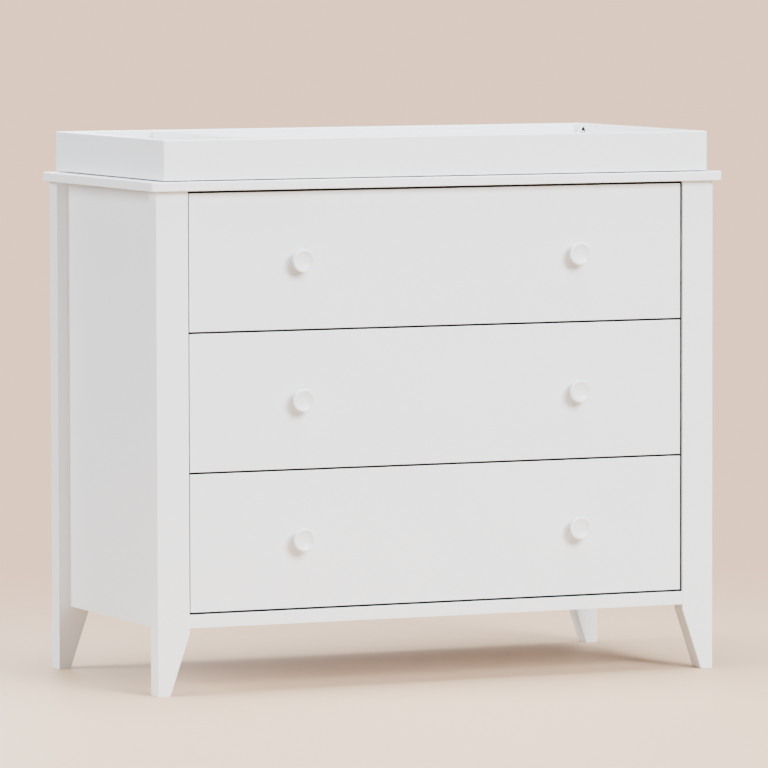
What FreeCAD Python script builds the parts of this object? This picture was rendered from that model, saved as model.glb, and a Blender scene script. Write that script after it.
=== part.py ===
import FreeCAD, Part
import os
import re
import Sketcher
from FreeCAD import Rotation, Vector

# A white nursery dresser with three wide drawers and a lift-off changing tray on its top.
# Four flat-board legs carry recessed side panels, rails and a top. Each drawer hangs on a
# pair of pressed-steel roller runners: a channel on the case with a roller at its front end,
# and a flanged strip on the drawer with a roller at its rear end that runs in the channel.
#
# Millimetres. The floor is Z = 0, +Z is up, the drawers face -Y and +X is to the right.
# X = 0 is the middle of the width and Y = 0 the middle of the overall depth.

SIZES = {
    # the case: outer faces of the legs, and the walking height of the top
    "case_width": 1026,
    "case_depth": 488,
    "case_height": 854,
    # the top panel
    "top_thickness": 15.5,
    "top_overhang_front": 14,
    "top_overhang_side": 12,
    "top_overhang_rear": 3,
    "top_corner_round": 7,
    "top_edge_bevel": 1.5,
    # the legs, straight outside and tapered inside
    "leg_width": 57,
    "leg_thickness": 33,
    "foot_width": 22,
    "taper_height": 103,
    "leg_edge_bevel": 2,
    # the side panels and the back panel
    "side_recess": 21.5,
    "side_thickness": 18,
    "side_bottom": 108,
    "back_thickness": 5,
    "back_rebate": 8,
    "back_bottom": 112,
    # the rails and stretchers
    "rail_bottom": 112,
    "rail_height": 22.5,
    "rail_thickness": 20,
    "rail_recess": 1.5,
    "rear_rail_height": 60,
    "rail_round": 1,
    "stretcher_depth": 60,
    "stretcher_thickness": 18,
    "stretcher_setback": 3.5,
    # the drawer fronts
    "front_recess": 4.5,
    "front_thickness": 18,
    "front_side_gap": 2.5,
    "front_gap": 3.5,
    "front_bottom_gap": 3.5,
    "front_top_gap": 4.5,
    "front_round": 1.5,
    # the drawer boxes
    "runner_space": 12.7,
    "box_thickness": 15,
    "box_height": 170,
    "drawer_rear_gap": 40.5,
    "box_lift": 20,
    "base_thickness": 4,
    "base_rise": 10,
    "groove_depth": 6,
    "groove_clearance": 0.2,
    # the knobs
    "knob_spacing": 510,
    "knob_radius": 19.5,
    "knob_projection": 23,
    "knob_neck_radius": 9.5,
    "knob_neck_depth": 9,
    "knob_rim_depth": 5,
    "knob_rim_bevel": 1.2,
    "knob_dish_depth": 4,
    # the roller runners
    "runner_sheet": 1.2,
    "runner_setback": 2.5,
    "member_rise": 16,
    "member_flange": 9,
    "member_foot": 12,
    "flange_gap": 0.8,
    "channel_lip_gap": 1,
    "channel_mouth": 30,
    "roller_radius": 10,
    "roller_width": 7,
    "roller_gap": 0.3,
    "roller_side_gap": 1,
    "roller_setback": 12,
    "pin_radius": 2.5,
    "pin_clearance": 0.05,
    "cleat_height": 30,
    # the changing tray
    "tray_side_inset": 25,
    "tray_overhang_front": 4,
    "tray_board": 22,
    "tray_height": 67.5,
    "tray_edge_bevel": 1.5,
    "tray_base_thickness": 5,
    "tray_base_rise": 8,
    "divider_bay": 147.5,
    "divider_thickness": 15,
    "divider_drop": 1.5,
    "cam_radius": 7.5,
    "cam_thickness": 12.4,
    "cam_clearance": 0.1,
    "cam_slot_width": 2,
    "cam_slot_depth": 1.5,
    "cam_slot_length": 9,
    "cam_drop": 13.5,
    "cam_inset": 30,
    "pad_size": 16,
    "pad_thickness": 1.5,
    "pad_inset": 60,
    # the tray's rear brackets
    "bracket_spacing": 700,
    "bracket_width": 30,
    "bracket_height": 62,
    "bracket_thickness": 2,
    "bracket_slot_width": 5,
    "bracket_slot_height": 12,
}

# Places that follow from the sizes, each from the ones before it.
PLACES = {
    "front_reach": "max(knob_projection - front_recess; top_overhang_front; tray_overhang_front)",
    "rear_reach": "top_overhang_rear + bracket_thickness",
    "case_front": "(front_reach - case_depth - rear_reach) / 2",
    "case_back": "case_front + case_depth",
    "case_side": "case_width / 2",
    "case_top": "case_height - top_thickness",
    "leg_inner": "case_side - leg_width",
    "panel_outer": "case_side - side_recess",
    "panel_inner": "panel_outer - side_thickness",
    "front_leg_back": "case_front + leg_thickness",
    "rear_leg_front": "case_back - leg_thickness",
    "back_face": "case_back - back_thickness",
    "rail_top": "rail_bottom + rail_height",
    "front_face": "case_front + front_recess",
    "front_back": "front_face + front_thickness",
    "front_side": "leg_inner - front_side_gap",
    "front_base": "rail_top + front_bottom_gap",
    "front_height": "(case_top - front_top_gap - front_base - 2 * front_gap) / 3",
    "front_pitch": "front_height + front_gap",
    "stretcher_front": "front_back + stretcher_setback",
    "stretcher_back": "stretcher_front + stretcher_depth",
    "rear_stretcher_front": "back_face - stretcher_depth",
    "box_side": "leg_inner - runner_space",
    "box_inner": "box_side - box_thickness",
    "box_back": "back_face - rail_thickness - drawer_rear_gap",
    "box_length": "box_back - front_back",
    "groove_height": "base_thickness + groove_clearance",
    "roller_rise": "member_rise - runner_sheet - roller_gap - roller_radius",
    "channel_drop": "roller_radius + roller_gap + runner_sheet - roller_rise",
    "channel_height": "member_rise + flange_gap + runner_sheet + channel_drop",
    "channel_front": "front_back + runner_setback",
    "channel_back": "box_back + runner_setback",
    "case_roller_y": "channel_front + roller_setback",
    "drawer_roller_y": "box_back - roller_setback",
    "tray_bottom": "case_height + pad_thickness",
    "tray_rim": "tray_bottom + tray_height",
    "tray_front": "case_front - tray_overhang_front",
    "tray_back": "case_back + top_overhang_rear",
    "tray_side": "case_side + top_overhang_side - tray_side_inset",
    "tray_inner_side": "tray_side - tray_board",
    "tray_inner_front": "tray_front + tray_board",
    "tray_inner_back": "tray_back - tray_board",
    "tray_floor": "tray_bottom + tray_base_rise + tray_base_thickness",
    "tray_groove_height": "tray_base_thickness + groove_clearance",
    "cam_z": "tray_rim - cam_drop",
    "cam_pocket_radius": "cam_radius + cam_clearance",
    "pin_bore_radius": "pin_radius + pin_clearance",
    "pin_length": "roller_side_gap + roller_width + roller_gap",
}

DRAWERS = ("lower", "middle", "upper")
ALONG_X = Rotation(Vector(0, 1, 0), 90)
ALONG_Y = Rotation(Vector(1, 0, 0), -90)
AGAINST_X = Rotation(Vector(0, 1, 0), -90)
TOUCHING = 0.01
STEEP = 0.9
FULL_TURN = 360
# how the sketcher numbers a line's ends, the sketch's origin and its two axes
LINE_START, LINE_END = 1, 2
ORIGIN = X_AXIS = -1
Y_AXIS = -2

document = FreeCAD.newDocument("ChangingDresser")
nodes = []


# ---------------------------------------------------------------- sheets and expressions

def make_sheet(name, cells):
    """A sheet with a word in column A and its value, under that word as alias, in column B."""
    sheet = document.addObject("Spreadsheet::Sheet", name)
    for row, (alias, content) in enumerate(cells.items(), start=1):
        sheet.set(f"A{row}", alias)
        sheet.set(f"B{row}", str(content))
        sheet.setAlias(f"B{row}", alias)
    return sheet


def with_sheet_names(text, own_sheet=None):
    """The formula with each size or place written as a reference to the sheet that holds it."""
    def reference(match):
        word = match.group(0)
        if word in SIZES:
            return f"Sizes.{word}"
        if word in PLACES and own_sheet != "Places":
            return f"Places.{word}"
        return word
    return re.sub(r"[a-z][a-z_]*", reference, text)


sizes = make_sheet("Sizes", SIZES)
places = make_sheet(
    "Places",
    {name: "=" + with_sheet_names(formula, "Places") for name, formula in PLACES.items()},
)
document.recompute()


def value(formula):
    """The number that a formula of sizes and places gives now."""
    return float(sizes.evalExpression(with_sheet_names(formula)))


def bind(thing, target, formula):
    """Ties one property of a document object to a formula of sizes and places."""
    thing.setExpression(target, with_sheet_names(formula))


def bind_place(thing, x, y, z):
    """Ties an object's position to three formulas."""
    for axis, formula in zip("xyz", (x, y, z)):
        bind(thing, f"Placement.Base.{axis}", formula)


def keep(thing, label):
    """Names a finished sub-part, which becomes a node and a file of that name."""
    thing.Label = label
    nodes.append(thing)
    return thing


# ---------------------------------------------------------------- bodies and their features

def origin_item(body, role):
    """One of a body's own origin planes or axes, by its role."""
    return next(item for item in body.Origin.OriginFeatures if item.Role == role)


def pin_corner(line, across, up, at):
    """The constraints that fix a line's start by two formulas, each with the formula it follows."""
    for formula, kind, axis, number in ((across, "DistanceX", Y_AXIS, at.x), (up, "DistanceY", X_AXIS, at.y)):
        if formula == "0":
            yield Sketcher.Constraint("PointOnObject", line, LINE_START, axis), None
        else:
            yield Sketcher.Constraint(kind, ORIGIN, 1, line, LINE_START, number), formula


def outline(body, plane, corners):
    """A closed sketch of straight sides on an origin plane; every corner is a pair of formulas."""
    sketch = body.newObject("Sketcher::SketchObject", "Outline")
    sketch.AttachmentSupport = (origin_item(body, plane), [""])
    sketch.MapMode = "FlatFace"
    points = [Vector(value(across), value(up), 0) for across, up in corners]
    rules = []
    for index, (start, end) in enumerate(zip(points, points[1:] + points[:1])):
        sketch.addGeometry(Part.LineSegment(start, end))
        before = (index - 1) % len(points)
        rules.append((Sketcher.Constraint("Coincident", before, LINE_END, index, LINE_START), None))
        rules += pin_corner(index, *corners[index], start)
    sketch.addConstraint([rule for rule, _ in rules])
    for index, (_, formula) in enumerate(rules):
        if formula:
            bind(sketch, f"Constraints[{index}]", formula)
    return sketch


def padded_body(name, plane, corners, length, backwards=False):
    """A body padded from a polygon on one of its origin planes."""
    body = document.addObject("PartDesign::Body", name)
    sketch = outline(body, plane, corners)
    pad = body.newObject("PartDesign::Pad", "Pad")
    pad.Profile = sketch
    pad.Reversed = backwards
    bind(pad, "Length", length)
    return body


def board(name, x, y, z, size_x, size_y, size_z):
    """A flat board, placed by its corner with the lowest X, Y and Z."""
    corners = [("0", "0"), (size_x, "0"), (size_x, size_y), ("0", size_y)]
    body = padded_body(name, "XY_Plane", corners, size_z)
    bind_place(body, x, y, z)
    return body


def cut_box(body, x, y, z, size_x, size_y, size_z):
    """Cuts a box out of a body, in the body's own coordinates."""
    box = body.newObject("PartDesign::SubtractiveBox", "Cut")
    bind(box, "Length", size_x)
    bind(box, "Width", size_y)
    bind(box, "Height", size_z)
    bind_place(box, x, y, z)


def bore(body, x, y, z, turn, radius, depth):
    """Bores a round hole into a body from a point, in the body's own coordinates."""
    hole = body.newObject("PartDesign::SubtractiveCylinder", "Bore")
    hole.Placement.Rotation = turn
    bind(hole, "Radius", radius)
    bind(hole, "Height", depth)
    bind_place(hole, x, y, z)


def stud(body, x, y, z, turn, radius, length):
    """Adds a round pin to a body from a point, in the body's own coordinates."""
    pin = body.newObject("PartDesign::AdditiveCylinder", "Stud")
    pin.Placement.Rotation = turn
    bind(pin, "Radius", radius)
    bind(pin, "Height", length)
    bind_place(pin, x, y, z)


def edges_on(side):
    """A test for edges that lie in one outer face of a body, such as "-y" for its front."""
    axis = "xyz".index(side[1])

    def lies_there(middle, along, box):
        low, high = ((box.XMin, box.XMax), (box.YMin, box.YMax), (box.ZMin, box.ZMax))[axis]
        return abs(middle[axis] - (low if side[0] == "-" else high)) < TOUCHING
    return lies_there


def edges_along(axis):
    """A test for straight edges that run along one axis, or nearly so."""
    def runs_so(middle, along, box):
        return abs(along["xyz".index(axis)]) > STEEP
    return runs_so


def both(first, second):
    """A test for edges that pass two tests."""
    return lambda middle, along, box: first(middle, along, box) and second(middle, along, box)


def ease_edges(body, kind, size, test):
    """Rounds or bevels the edges of a body that pass a test of middle, direction and box."""
    document.recompute()
    before = body.Tip
    chosen = []
    for index, edge in enumerate(before.Shape.Edges, start=1):
        halfway = (edge.FirstParameter + edge.LastParameter) / 2
        if test(edge.valueAt(halfway), edge.tangentAt(halfway), before.Shape.BoundBox):
            chosen.append(f"Edge{index}")
    eased = body.newObject(f"PartDesign::{kind}", kind)
    eased.Base = (before, chosen)
    bind(eased, {"Fillet": "Radius", "Chamfer": "Size"}[kind], size)


def mirrored(thing, name):
    """The same piece on the other side of the dresser."""
    twin = document.addObject("Part::Mirroring", name)
    twin.Source = thing
    twin.Normal = Vector(1, 0, 0)
    return twin


def grouped(name, things):
    """Several separate solids that share one node."""
    group = document.addObject("Part::Compound", name)
    group.Links = things
    return group


def both_sides(name, things):
    """A group of pieces with their twins on the other side of the dresser."""
    twins = [mirrored(thing, f"{name}_twin_{index}") for index, thing in enumerate(things)]
    return grouped(name, things + twins)


# ---------------------------------------------------------------- the case

def build_leg(label, front):
    """A left leg: a board cut to a taper on its inner edge, with its long edges eased."""
    corners = [("0", "0"), ("foot_width", "0"), ("leg_width", "taper_height"),
               ("leg_width", "case_top"), ("0", "case_top")]
    leg = padded_body(label, "XZ_Plane", corners, "leg_thickness", backwards=True)
    bind_place(leg, "-case_side", "case_front" if front else "rear_leg_front", "0")
    ease_edges(leg, "Chamfer", "leg_edge_bevel", edges_along("z"))
    if not front:
        cut_box(leg, "leg_width - back_rebate", "leg_thickness - back_thickness", "back_bottom",
                "back_rebate + leg_edge_bevel", "back_thickness + leg_edge_bevel", "case_top")
    return leg


def build_legs():
    """The four legs: each left one and its twin."""
    for place, front in (("front", True), ("rear", False)):
        leg = keep(build_leg(f"leg_{place}_left", front), f"leg_{place}_left")
        keep(mirrored(leg, f"leg_{place}_right"), f"leg_{place}_right")


def stretcher_heights():
    """The undersides of the two stretchers, which lie behind the gaps between the drawers."""
    for level in (1, 2):
        yield f"front_base + {level} * front_pitch - (front_gap + stretcher_thickness) / 2"


def build_side_panels():
    """The recessed side panels between the front and rear legs."""
    panel = board("side_panel_left", "-panel_outer", "front_leg_back", "side_bottom",
                  "side_thickness", "rear_leg_front - front_leg_back", "case_top - side_bottom")
    keep(panel, "side_panel_left")
    keep(mirrored(panel, "side_panel_right"), "side_panel_right")


def build_stretcher(label, height, front):
    """A flat board across the case, notched round the legs."""
    if front:
        low, notch, high = "stretcher_front", "front_leg_back", "stretcher_back"
        near, far = "leg_inner", "panel_inner"
    else:
        low, notch, high = "rear_stretcher_front", "rear_leg_front", "back_face"
        near, far = "panel_inner", "leg_inner"
    corners = [(f"-{near}", low), (near, low), (near, notch), (far, notch),
               (far, high), (f"-{far}", high), (f"-{far}", notch), (f"-{near}", notch)]
    stretcher = padded_body(label, "XY_Plane", corners, "stretcher_thickness")
    bind_place(stretcher, "0", "0", height)
    keep(stretcher, label)


def build_rail(label, y, height, outer_side):
    """A rail between a pair of legs, eased round its outer face."""
    rail = board(label, "-leg_inner", y, "rail_bottom", "2 * leg_inner", "rail_thickness", height)
    ease_edges(rail, "Fillet", "rail_round", edges_on(outer_side))
    keep(rail, label)


def build_top_panel():
    """The top, overhanging the case, with rounded corners and eased edges."""
    top = board("top_panel", "-case_side - top_overhang_side", "case_front - top_overhang_front",
                "case_top", "case_width + 2 * top_overhang_side",
                "case_depth + top_overhang_front + top_overhang_rear", "top_thickness")
    ease_edges(top, "Fillet", "top_corner_round", edges_along("z"))
    ease_edges(top, "Chamfer", "top_edge_bevel", edges_on("+z"))
    ease_edges(top, "Chamfer", "top_edge_bevel", edges_on("-z"))
    keep(top, "top_panel")


def build_back_panel():
    """The thin back panel, let into rebates in the rear legs."""
    back = board("back_panel", "-leg_inner - back_rebate + groove_clearance", "back_face", "back_bottom",
                 "2 * (leg_inner + back_rebate - groove_clearance)", "back_thickness",
                 "case_top - back_bottom")
    keep(back, "back_panel")


def build_case():
    """Everything of the case that doesn't move."""
    build_top_panel()
    build_legs()
    build_side_panels()
    build_back_panel()
    build_rail("bottom_rail_front", "case_front + rail_recess", "rail_height", "-y")
    build_rail("bottom_rail_rear", "back_face - rail_thickness", "rear_rail_height", "-z")
    lower_height, upper_height = stretcher_heights()
    build_stretcher("lower_stretcher", lower_height, True)
    build_stretcher("upper_stretcher", upper_height, True)
    build_stretcher("top_rail_front", "case_top - stretcher_thickness", True)
    build_stretcher("top_rail_rear", "case_top - stretcher_thickness", False)


# ---------------------------------------------------------------- the runners

def box_bottom(level):
    """The height of the lower edge of a drawer's box, counted from the lowest drawer."""
    return f"front_base + {level} * front_pitch + box_lift"


def build_cleat(level):
    """A left batten that brings the side panel out flush with the legs' inner faces."""
    return board(f"cleat_{level}", "-panel_inner", "front_leg_back",
                 f"{box_bottom(level)} + roller_rise - cleat_height / 2",
                 "panel_inner - leg_inner", "rear_leg_front - front_leg_back", "cleat_height")


def build_case_runner(level):
    """A left channel of pressed steel, open towards the drawer, with the front roller's pin."""
    inner = "leg_inner - runner_sheet"
    lip = "box_side + runner_sheet + channel_lip_gap"
    corners = [("-leg_inner", "0"), (f"-({lip})", "0"), (f"-({lip})", "runner_sheet"),
               (f"-({inner})", "runner_sheet"), (f"-({inner})", "channel_height - runner_sheet"),
               (f"-({lip})", "channel_height - runner_sheet"), (f"-({lip})", "channel_height"),
               ("-leg_inner", "channel_height")]
    runner = padded_body(f"case_runner_{level}", "XZ_Plane", corners, "channel_back - channel_front",
                         backwards=True)
    bind_place(runner, "0", "channel_front", f"{box_bottom(level)} - channel_drop")
    cut_box(runner, f"-({inner})", "0", "channel_height - runner_sheet", f"{inner} - ({lip})",
            "channel_mouth", "runner_sheet")
    stud(runner, f"-({inner})", "roller_setback", "roller_rise + channel_drop", ALONG_X, "pin_radius",
         "pin_length")
    return runner


def build_drawer_runner(level):
    """A left strip under the edge of the drawer's side, with a flange out over the front roller."""
    web = "box_side + runner_sheet"
    flange = "box_side + runner_sheet + member_flange"
    foot = "box_side - member_foot"
    corners = [(f"-({foot})", "0"), ("-box_side", "0"), ("-box_side", "member_rise"),
               (f"-({flange})", "member_rise"), (f"-({flange})", "member_rise - runner_sheet"),
               (f"-({web})", "member_rise - runner_sheet"), (f"-({web})", "-runner_sheet"),
               (f"-({foot})", "-runner_sheet")]
    runner = padded_body(f"drawer_runner_{level}", "XZ_Plane", corners, "box_length", backwards=True)
    bind_place(runner, "0", "front_back", box_bottom(level))
    stud(runner, f"-({web})", "box_length - roller_setback", "roller_rise", AGAINST_X, "pin_radius",
         "pin_length")
    return runner


def build_rollers(label, x, y, level):
    """A pair of plastic rollers on one axis, each bored for its pin."""
    roller = document.addObject("PartDesign::Body", f"{label}_left")
    sketch = outline(roller, "XY_Plane", [
        ("0", "pin_bore_radius"), ("roller_width", "pin_bore_radius"),
        ("roller_width", "roller_radius"), ("0", "roller_radius")])
    turned = roller.newObject("PartDesign::Revolution", "Turned")
    turned.Profile = sketch
    turned.ReferenceAxis = (sketch, ["H_Axis"])
    turned.Angle = FULL_TURN
    bind_place(roller, x, y, f"{box_bottom(level)} + roller_rise")
    keep(both_sides(label, [roller]), label)


def build_runners():
    """The case's half of the running gear: battens, channels and front rollers."""
    levels = range(len(DRAWERS))
    keep(both_sides("runner_cleats", [build_cleat(level) for level in levels]), "runner_cleats")
    keep(both_sides("case_runners", [build_case_runner(level) for level in levels]), "case_runners")
    for level, name in enumerate(DRAWERS):
        build_rollers(f"{name}_case_rollers", "-leg_inner + runner_sheet + roller_side_gap",
                      "case_roller_y", level)


# ---------------------------------------------------------------- the drawers

def build_drawer_front(label, bottom):
    """A drawer front: eased round its face and grooved behind for the base."""
    front = board(label, "-front_side", "front_face", bottom, "2 * front_side", "front_thickness",
                  "front_height")
    ease_edges(front, "Fillet", "front_round", edges_on("-y"))
    cut_box(front, "front_side - box_inner - groove_depth", "front_thickness - groove_depth",
            "box_lift + base_rise", "2 * (box_inner + groove_depth)", "groove_depth",
            "groove_height")
    keep(front, label)


def knob_profile(knob):
    """Half the knob's section: narrow neck, flared back, bevelled rim and a dished face."""
    return outline(knob, "XY_Plane", [
        ("0", "0"), ("knob_neck_radius", "0"), ("knob_neck_radius", "-knob_neck_depth"),
        ("knob_radius", "knob_rim_depth - knob_projection"),
        ("knob_radius", "knob_rim_bevel - knob_projection"),
        ("knob_radius - knob_rim_bevel", "-knob_projection"),
        ("0", "knob_dish_depth - knob_projection")])


def build_knobs(label, bottom):
    """A pair of turned knobs on a drawer front."""
    knob = document.addObject("PartDesign::Body", f"{label}_left")
    sketch = knob_profile(knob)
    turned = knob.newObject("PartDesign::Revolution", "Turned")
    turned.Profile = sketch
    turned.ReferenceAxis = (sketch, ["V_Axis"])
    turned.Angle = FULL_TURN
    bind_place(knob, "-knob_spacing / 2", "front_face", f"{bottom} + front_height / 2")
    keep(both_sides(label, [knob]), label)


def build_drawer(name, level):
    """One drawer: front, box, grooved-in base, knobs, runner strips and rear rollers."""
    front_bottom = f"front_base + {level} * front_pitch"
    low = box_bottom(level)
    build_drawer_front(f"{name}_drawer_front", front_bottom)

    side = board(f"{name}_drawer_side_left", "-box_side", "front_back", low, "box_thickness",
                 "box_length", "box_height")
    cut_box(side, "box_thickness - groove_depth", "0", "base_rise", "groove_depth", "box_length",
            "groove_height")
    keep(side, f"{name}_drawer_side_left")
    keep(mirrored(side, f"{name}_drawer_side_right"), f"{name}_drawer_side_right")

    back = board(f"{name}_drawer_back", "-box_inner", "box_back - box_thickness",
                 f"{low} + base_rise + groove_height", "2 * box_inner", "box_thickness",
                 "box_height - base_rise - groove_height")
    keep(back, f"{name}_drawer_back")

    reach = "(box_inner + groove_depth - groove_clearance)"
    base = board(f"{name}_drawer_base", f"-{reach}", "front_back - groove_depth + groove_clearance",
                 f"{low} + base_rise", f"2 * {reach}", "box_length + groove_depth - groove_clearance",
                 "base_thickness")
    keep(base, f"{name}_drawer_base")

    build_knobs(f"{name}_drawer_knobs", front_bottom)
    keep(both_sides(f"{name}_drawer_runners", [build_drawer_runner(level)]), f"{name}_drawer_runners")
    build_rollers(f"{name}_drawer_rollers",
                  "-box_side - runner_sheet - roller_side_gap - roller_width", "drawer_roller_y", level)


# ---------------------------------------------------------------- the changing tray

def build_tray_rail(label, y, outer_side):
    """The tray's front or rear board, which runs the full width and is grooved for the base."""
    rail = board(label, "-tray_side", y, "tray_bottom", "2 * tray_side", "tray_board", "tray_height")
    ease_edges(rail, "Chamfer", "tray_edge_bevel", both(edges_along("z"), edges_on(outer_side)))
    ease_edges(rail, "Chamfer", "tray_edge_bevel", edges_on("+z"))
    cut_box(rail, "tray_board - groove_depth", "tray_board - groove_depth" if outer_side == "-y" else "0",
            "tray_base_rise", "2 * (tray_inner_side + groove_depth)", "groove_depth",
            "tray_groove_height")
    keep(rail, label)


def build_tray_ends():
    """The tray's end boards between its front and rear boards, with a cam near each end."""
    length = "(tray_inner_back - tray_inner_front)"
    end = board("tray_end_left", "-tray_side", "tray_inner_front", "tray_bottom", "tray_board",
                length, "tray_height")
    ease_edges(end, "Chamfer", "tray_edge_bevel", both(edges_along("y"), edges_on("+z")))
    cut_box(end, "tray_board - groove_depth", "0", "tray_base_rise", "groove_depth", length,
            "tray_groove_height")
    for cam_y in ("cam_inset", f"{length} - cam_inset"):
        bore(end, "tray_board - cam_thickness", cam_y, "cam_z - tray_bottom", ALONG_X,
             "cam_pocket_radius", "cam_thickness")
    keep(end, "tray_end_left")
    keep(mirrored(end, "tray_end_right"), "tray_end_right")


def build_cam_locks():
    """The cams that draw the tray's corners together, each with a slot across its face."""
    locks = []
    for cam_y in ("tray_inner_front + cam_inset", "tray_inner_back - cam_inset"):
        lock = document.addObject("PartDesign::Body", "cam_lock")
        stud(lock, "0", "0", "0", ALONG_X, "cam_radius", "cam_thickness")
        cut_box(lock, "cam_thickness - cam_slot_depth", "-cam_slot_length / 2", "-cam_slot_width / 2",
                "cam_slot_depth", "cam_slot_length", "cam_slot_width")
        bind_place(lock, "-tray_inner_side - cam_thickness", cam_y, "cam_z")
        locks.append(lock)
    keep(both_sides("tray_cam_locks", locks), "tray_cam_locks")


def build_pads():
    """The thin pads that the tray stands on, under its front and rear boards."""
    pads = []
    for x in ("-tray_side + pad_inset", "0", "tray_side - pad_inset"):
        for y in ("tray_front + tray_board / 2", "tray_back - tray_board / 2"):
            pads.append(board("pad", f"{x} - pad_size / 2", f"{y} - pad_size / 2", "case_height",
                              "pad_size", "pad_size", "pad_thickness"))
    keep(grouped("tray_pads", pads), "tray_pads")


def build_brackets():
    """The tray's rear brackets, each with an open slot that drops over a screw in the top's edge."""
    brackets = []
    for side in ("-", "+"):
        bracket = board("bracket", f"{side}bracket_spacing / 2 - bracket_width / 2", "tray_back",
                        "case_top", "bracket_width", "bracket_thickness", "bracket_height")
        cut_box(bracket, "(bracket_width - bracket_slot_width) / 2", "0", "0", "bracket_slot_width",
                "bracket_thickness", "bracket_slot_height")
        brackets.append(bracket)
    keep(grouped("tray_brackets", brackets), "tray_brackets")


def build_tray():
    """The changing tray that stands on the top on small pads."""
    build_tray_rail("tray_front_board", "tray_front", "-y")
    build_tray_rail("tray_rear_board", "tray_inner_back", "+y")
    build_tray_ends()

    divider = board("tray_divider", "-tray_inner_side + divider_bay", "tray_inner_front", "tray_floor",
                    "divider_thickness", "tray_inner_back - tray_inner_front",
                    "tray_rim - divider_drop - tray_floor")
    keep(divider, "tray_divider")

    reach = "(tray_inner_side + groove_depth - groove_clearance)"
    depth = "(groove_depth - groove_clearance)"
    base = board("tray_base", f"-{reach}", f"tray_inner_front - {depth}",
                 "tray_bottom + tray_base_rise", f"2 * {reach}",
                 f"tray_inner_back - tray_inner_front + 2 * {depth}", "tray_base_thickness")
    keep(base, "tray_base")
    build_cam_locks()
    build_pads()
    build_brackets()


# ---------------------------------------------------------------- build, check and write

def check_document():
    """Stops if any object failed to rebuild, or a sub-part has no sound solid."""
    for thing in document.Objects:
        if any(word in ("Invalid", "Error") for word in thing.State):
            raise RuntimeError(f"{thing.Label} failed to rebuild: {thing.State}")
    for thing in nodes:
        if thing.Shape.isNull() or not thing.Shape.isValid() or not thing.Shape.Solids:
            raise RuntimeError(f"{thing.Label} has no sound solid")


def write_nodes():
    """Writes each sub-part to its own file and prints what it measures."""
    os.makedirs("parts", exist_ok=True)
    for thing in nodes:
        thing.Shape.exportStep(os.path.join("parts", f"{thing.Label}.step"))
        box = thing.Shape.BoundBox
        print(f"{thing.Label:28} solids {len(thing.Shape.Solids):2}  "
              f"x {box.XMin:8.2f} {box.XMax:8.2f}  y {box.YMin:8.2f} {box.YMax:8.2f}  "
              f"z {box.ZMin:8.2f} {box.ZMax:8.2f}  volume {thing.Shape.Volume / 1000:10.2f} cm3")
    print(f"{len(nodes)} nodes")


build_case()
build_runners()
for drawer_level, drawer_name in enumerate(DRAWERS):
    build_drawer(drawer_name, drawer_level)
build_tray()
document.recompute()
check_document()
write_nodes()
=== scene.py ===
import logging
import math
from dataclasses import dataclass, field
from enum import Enum
from typing import Any

import bpy
import numpy as np
from mathutils import Matrix, Vector


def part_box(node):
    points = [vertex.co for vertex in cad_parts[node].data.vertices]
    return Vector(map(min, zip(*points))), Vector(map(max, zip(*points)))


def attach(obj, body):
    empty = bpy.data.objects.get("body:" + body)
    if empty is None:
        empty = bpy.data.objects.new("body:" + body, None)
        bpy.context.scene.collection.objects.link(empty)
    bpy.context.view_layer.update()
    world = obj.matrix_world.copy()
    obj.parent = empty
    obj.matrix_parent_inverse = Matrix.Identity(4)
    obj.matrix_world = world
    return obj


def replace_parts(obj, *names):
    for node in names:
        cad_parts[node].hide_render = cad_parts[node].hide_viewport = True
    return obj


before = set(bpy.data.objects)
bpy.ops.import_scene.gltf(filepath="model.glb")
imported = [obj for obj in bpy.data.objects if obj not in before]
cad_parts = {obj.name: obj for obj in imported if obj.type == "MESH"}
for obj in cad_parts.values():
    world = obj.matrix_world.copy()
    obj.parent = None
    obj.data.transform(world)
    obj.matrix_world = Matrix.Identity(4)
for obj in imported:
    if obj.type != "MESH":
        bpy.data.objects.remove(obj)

# Looks of a white changing dresser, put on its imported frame. The classes hold their sizes in
# millimetres, in the frame's own axes: the floor is z = 0, the drawers face -y and +x is right.

log = logging.getLogger("dresser")
MM = 0.001
Array = np.ndarray
Spot = tuple[float, float, float]
Colour = tuple[float, float, float]


# ---------------------------------------------------------------- surfaces worked out as arrays

@dataclass
class Outline:
    """A line of points in a plane, closed or open, with outward normals and an edge mask.

    For each point it also keeps the corner that the point belongs to, that corner's mitre, which
    is how far the corner moves when both its sides move out by 1, and the arc's radius, which is
    less than 0 where the line turns inwards.
    """

    points: Array
    normals: Array
    edge: Array
    corners: Array
    mitres: Array
    radii: Array
    closed: bool = True

    def drawn_in(self, inset: Array, least: float = 0.08) -> Array:
        """The line drawn in by each of several distances.

        Every side moves in by the distance, and an outward corner's radius shrinks by it but stays
        at least the least one: the point is the corner, less the distance and radius together
        times the mitre, plus the radius times the normal.

        Args:
            inset: the distances, one for each ring.
            least: the smallest radius of an outward corner.

        Returns:
            The points of each ring.
        """
        apart = inset[:, None]
        shrunk = self.radii - apart
        radius = np.where(self.radii > 0, np.maximum(shrunk, least), shrunk)
        return (self.corners - (apart + radius)[..., None] * self.mitres
                + radius[..., None] * self.normals)


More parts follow.
